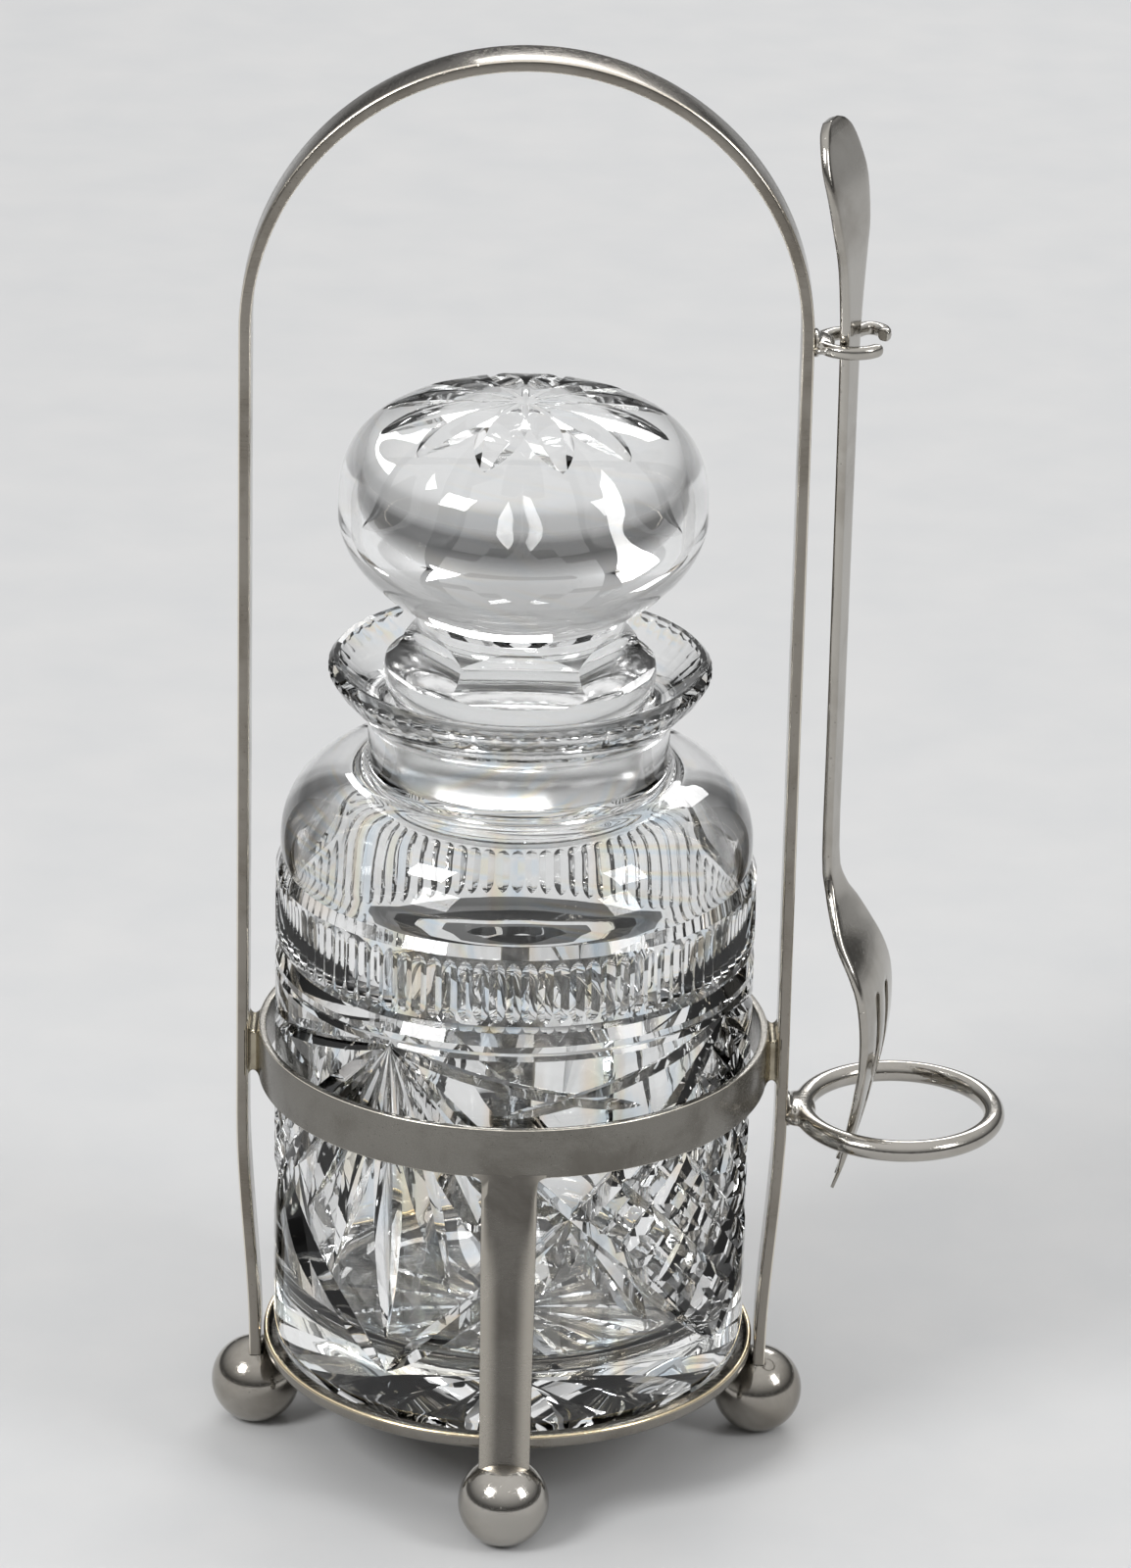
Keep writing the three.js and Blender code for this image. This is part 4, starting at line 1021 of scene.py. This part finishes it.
def make_stopper():
    """The stopper, turned with its plug, collar and head, then cut with its neck panels, leaves and rays."""
    leaves, rays = 12, 6
    wheel_radius, wheel_width, wheel_x, wheel_z = 6, 47, 23.1, 152
    outline = [(18.6, 125.6), (19.3, 125.9), (19.8, 126.6), (19.95, 127.5), (20.6, 138.7), (20.8, 139.4)]
    outline += smooth_path([(21.7, 139.9), (22.6, 141.2), (23.2, 143.0), (23.4, 145.2), (23.0, 147.0),
                            (22.2, 148.5), (20.9, 150.0), (19.4, 151.4), (18.2, 152.5), (17.6, 153.6),
                            (17.4, 154.9)], 3)
    outline += head_curve(HEAD_LOWER, HEAD_LOWER_FULLNESS, -52, 0, 18)
    outline += head_curve(HEAD_UPPER, HEAD_UPPER_FULLNESS, 0, 88.5, 28)[1:]
    outline += [(0, HEAD_MIDDLE_Z + HEAD_UPPER)]
    stopper = turned("stopper_glass", outline, 144)
    for panel in range(NECK_PANELS):
        wheel = added(bpy.ops.mesh.primitive_cylinder_add, "panel_wheel", vertices=72, radius=wheel_radius,
                      depth=wheel_width, location=(wheel_x, 0, wheel_z), rotation=(math.pi / 2, 0, 0))
        wheel.rotation_euler = (0, 0, -math.pi / 2 + math.pi * 2 * panel / NECK_PANELS)
        settle(wheel)
        cut_away(stopper, wheel)
    lens, line = cutting_wheels()
    leaf_groups = [[], []]
    for leaf in range(leaves):
        angle = math.pi * 2 * (leaf + 0.5) / leaves
        leaf_groups[leaf % 2].append(crown_mark(lens, 5.0, 25.8, width=8.0, depth=2.4, angle=angle))
    for group in leaf_groups:
        cut_away(stopper, joined(group))
    for ray in range(rays):
        cut_away(stopper, crown_mark(line, -9.5, 9.5, width=1.3, depth=0.6, angle=math.pi * ray / rays))
    bpy.data.objects.remove(lens)
    bpy.data.objects.remove(line)
    return stopper


# Making the set

place_piece(make_handle(), strip_plate, "stand", "handle")
for leg, leg_node in zip(make_legs(), ("front_leg", "back_leg")):
    place_piece(leg, leg_plate, "stand", leg_node)
place_piece(make_band(), band_plate, "stand", "band")
for saddle, saddle_node in zip(make_saddles(), ("right_solder", "left_solder")):
    place_piece(saddle, gilt_solder, "stand", saddle_node)
place_piece(make_plate(), tray_plate, "stand", "base_plate")
for foot, x, y in (("front_foot", 0, -FOOT_CIRCLE), ("back_foot", 0, FOOT_CIRCLE),
                   ("left_foot", -FOOT_CIRCLE, 0), ("right_foot", FOOT_CIRCLE, 0)):
    place_piece(make_ball(foot + "_ball", x, y), polished_plate, "stand", foot)
place_piece(make_clip(), polished_plate, "stand", "fork_clip", sharp=80)
place_piece(make_ring(), polished_plate, "stand", "fork_ring", sharp=80)
place_piece(make_fork(), polished_plate, "fork", "fork")
place_piece(make_jar(), jar_crystal, "jar", "jar", sharp=19)
place_piece(make_stopper(), stopper_crystal, "stopper", "stopper", sharp=19)


# Floor, light and camera

LAMP_AIM = Vector((0, 0, 0.1))


def pale_floor():
    """A wide floor of pale grey, very slightly uneven in tone."""
    floor = added(bpy.ops.mesh.primitive_plane_add, "floor", size=40)
    material, tree, shader = new_material("pale_floor", {"Roughness": 0.7, "Specular IOR Level": 0.2})
    place = node(tree, "ShaderNodeTexCoord", (-900, 0))
    cloud = node(tree, "ShaderNodeTexNoise", (-700, 0), {"Scale": 40, "Detail": 5})
    shade = ramp(tree, (-400, 0), [(0.3, (0.555, 0.56, 0.565)), (0.7, 0.585)])
    link(tree, (place, "Object", cloud, "Vector"), (cloud, "Fac", shade, "Fac"),
         (shade, "Color", shader, "Base Color"))
    floor.data.materials.append(material)


def studio_world():
    """Soft light that falls from overhead, dimmer near the horizon, so that glass and plate show shape."""
    world = bpy.data.worlds.new("studio")
    bpy.context.scene.world = world
    world.use_nodes = True
    tree = world.node_tree
    background = tree.nodes["Background"]
    place = node(tree, "ShaderNodeTexCoord", (-900, 0))
    parts = node(tree, "ShaderNodeSeparateXYZ", (-700, 0))
    sky = ramp(tree, (-500, 0), [(0.0, 0.38), (0.05, 0.14), (0.14, 0.09), (0.35, 0.42), (0.7, 0.85),
                                 (1.0, 0.95)])
    link(tree, (place, "Generated", parts, "Vector"), (parts, "Z", sky, "Fac"),
         (sky, "Color", background, "Color"))


def lamp(name, place, size, power):
    """A rectangular lamp, aimed at the middle of the jar."""
    light = bpy.data.lights.new(name, "AREA")
    light.shape = "RECTANGLE"
    light.size, light.size_y = size
    light.energy = power
    fixture = bpy.data.objects.new(name, light)
    bpy.context.collection.objects.link(fixture)
    fixture.location = place
    fixture.rotation_euler = (LAMP_AIM - Vector(place)).to_track_quat("-Z", "Y").to_euler()


def camera_at_photo():
    """The camera where the photograph was taken from, with its small roll."""
    azimuth, elevation, roll = math.radians(-0.252), math.radians(22.231), math.radians(1.269)
    target, distance, lens = Vector((-0.008784, 0, 0.123327)), 1.2, 159.61
    back = Vector((math.sin(azimuth) * math.cos(elevation), -math.cos(azimuth) * math.cos(elevation),
                   math.sin(elevation)))
    right = (-back).cross(Vector((0, 0, 1))).normalized()
    up = right.cross(-back)
    camera_x = math.cos(roll) * right + math.sin(roll) * up
    camera_y = -math.sin(roll) * right + math.cos(roll) * up
    data = bpy.data.cameras.new("photo_camera")
    data.sensor_width = 36
    data.lens = lens
    camera = bpy.data.objects.new("photo_camera", data)
    bpy.context.collection.objects.link(camera)
    turn = Matrix((camera_x, camera_y, back)).transposed()
    camera.matrix_world = Matrix.Translation(target + back * distance) @ turn.to_4x4()
    bpy.context.scene.camera = camera


pale_floor()
studio_world()
lamp("key", (-0.85, -0.75, 1.0), (0.45, 0.45), 11)
lamp("fill", (0.95, -0.55, 0.8), (0.35, 0.5), 5)
lamp("rim", (0.2, 1.3, 0.9), (0.9, 0.3), 5)
camera_at_photo()
bpy.context.scene.view_settings.view_transform = "Standard"
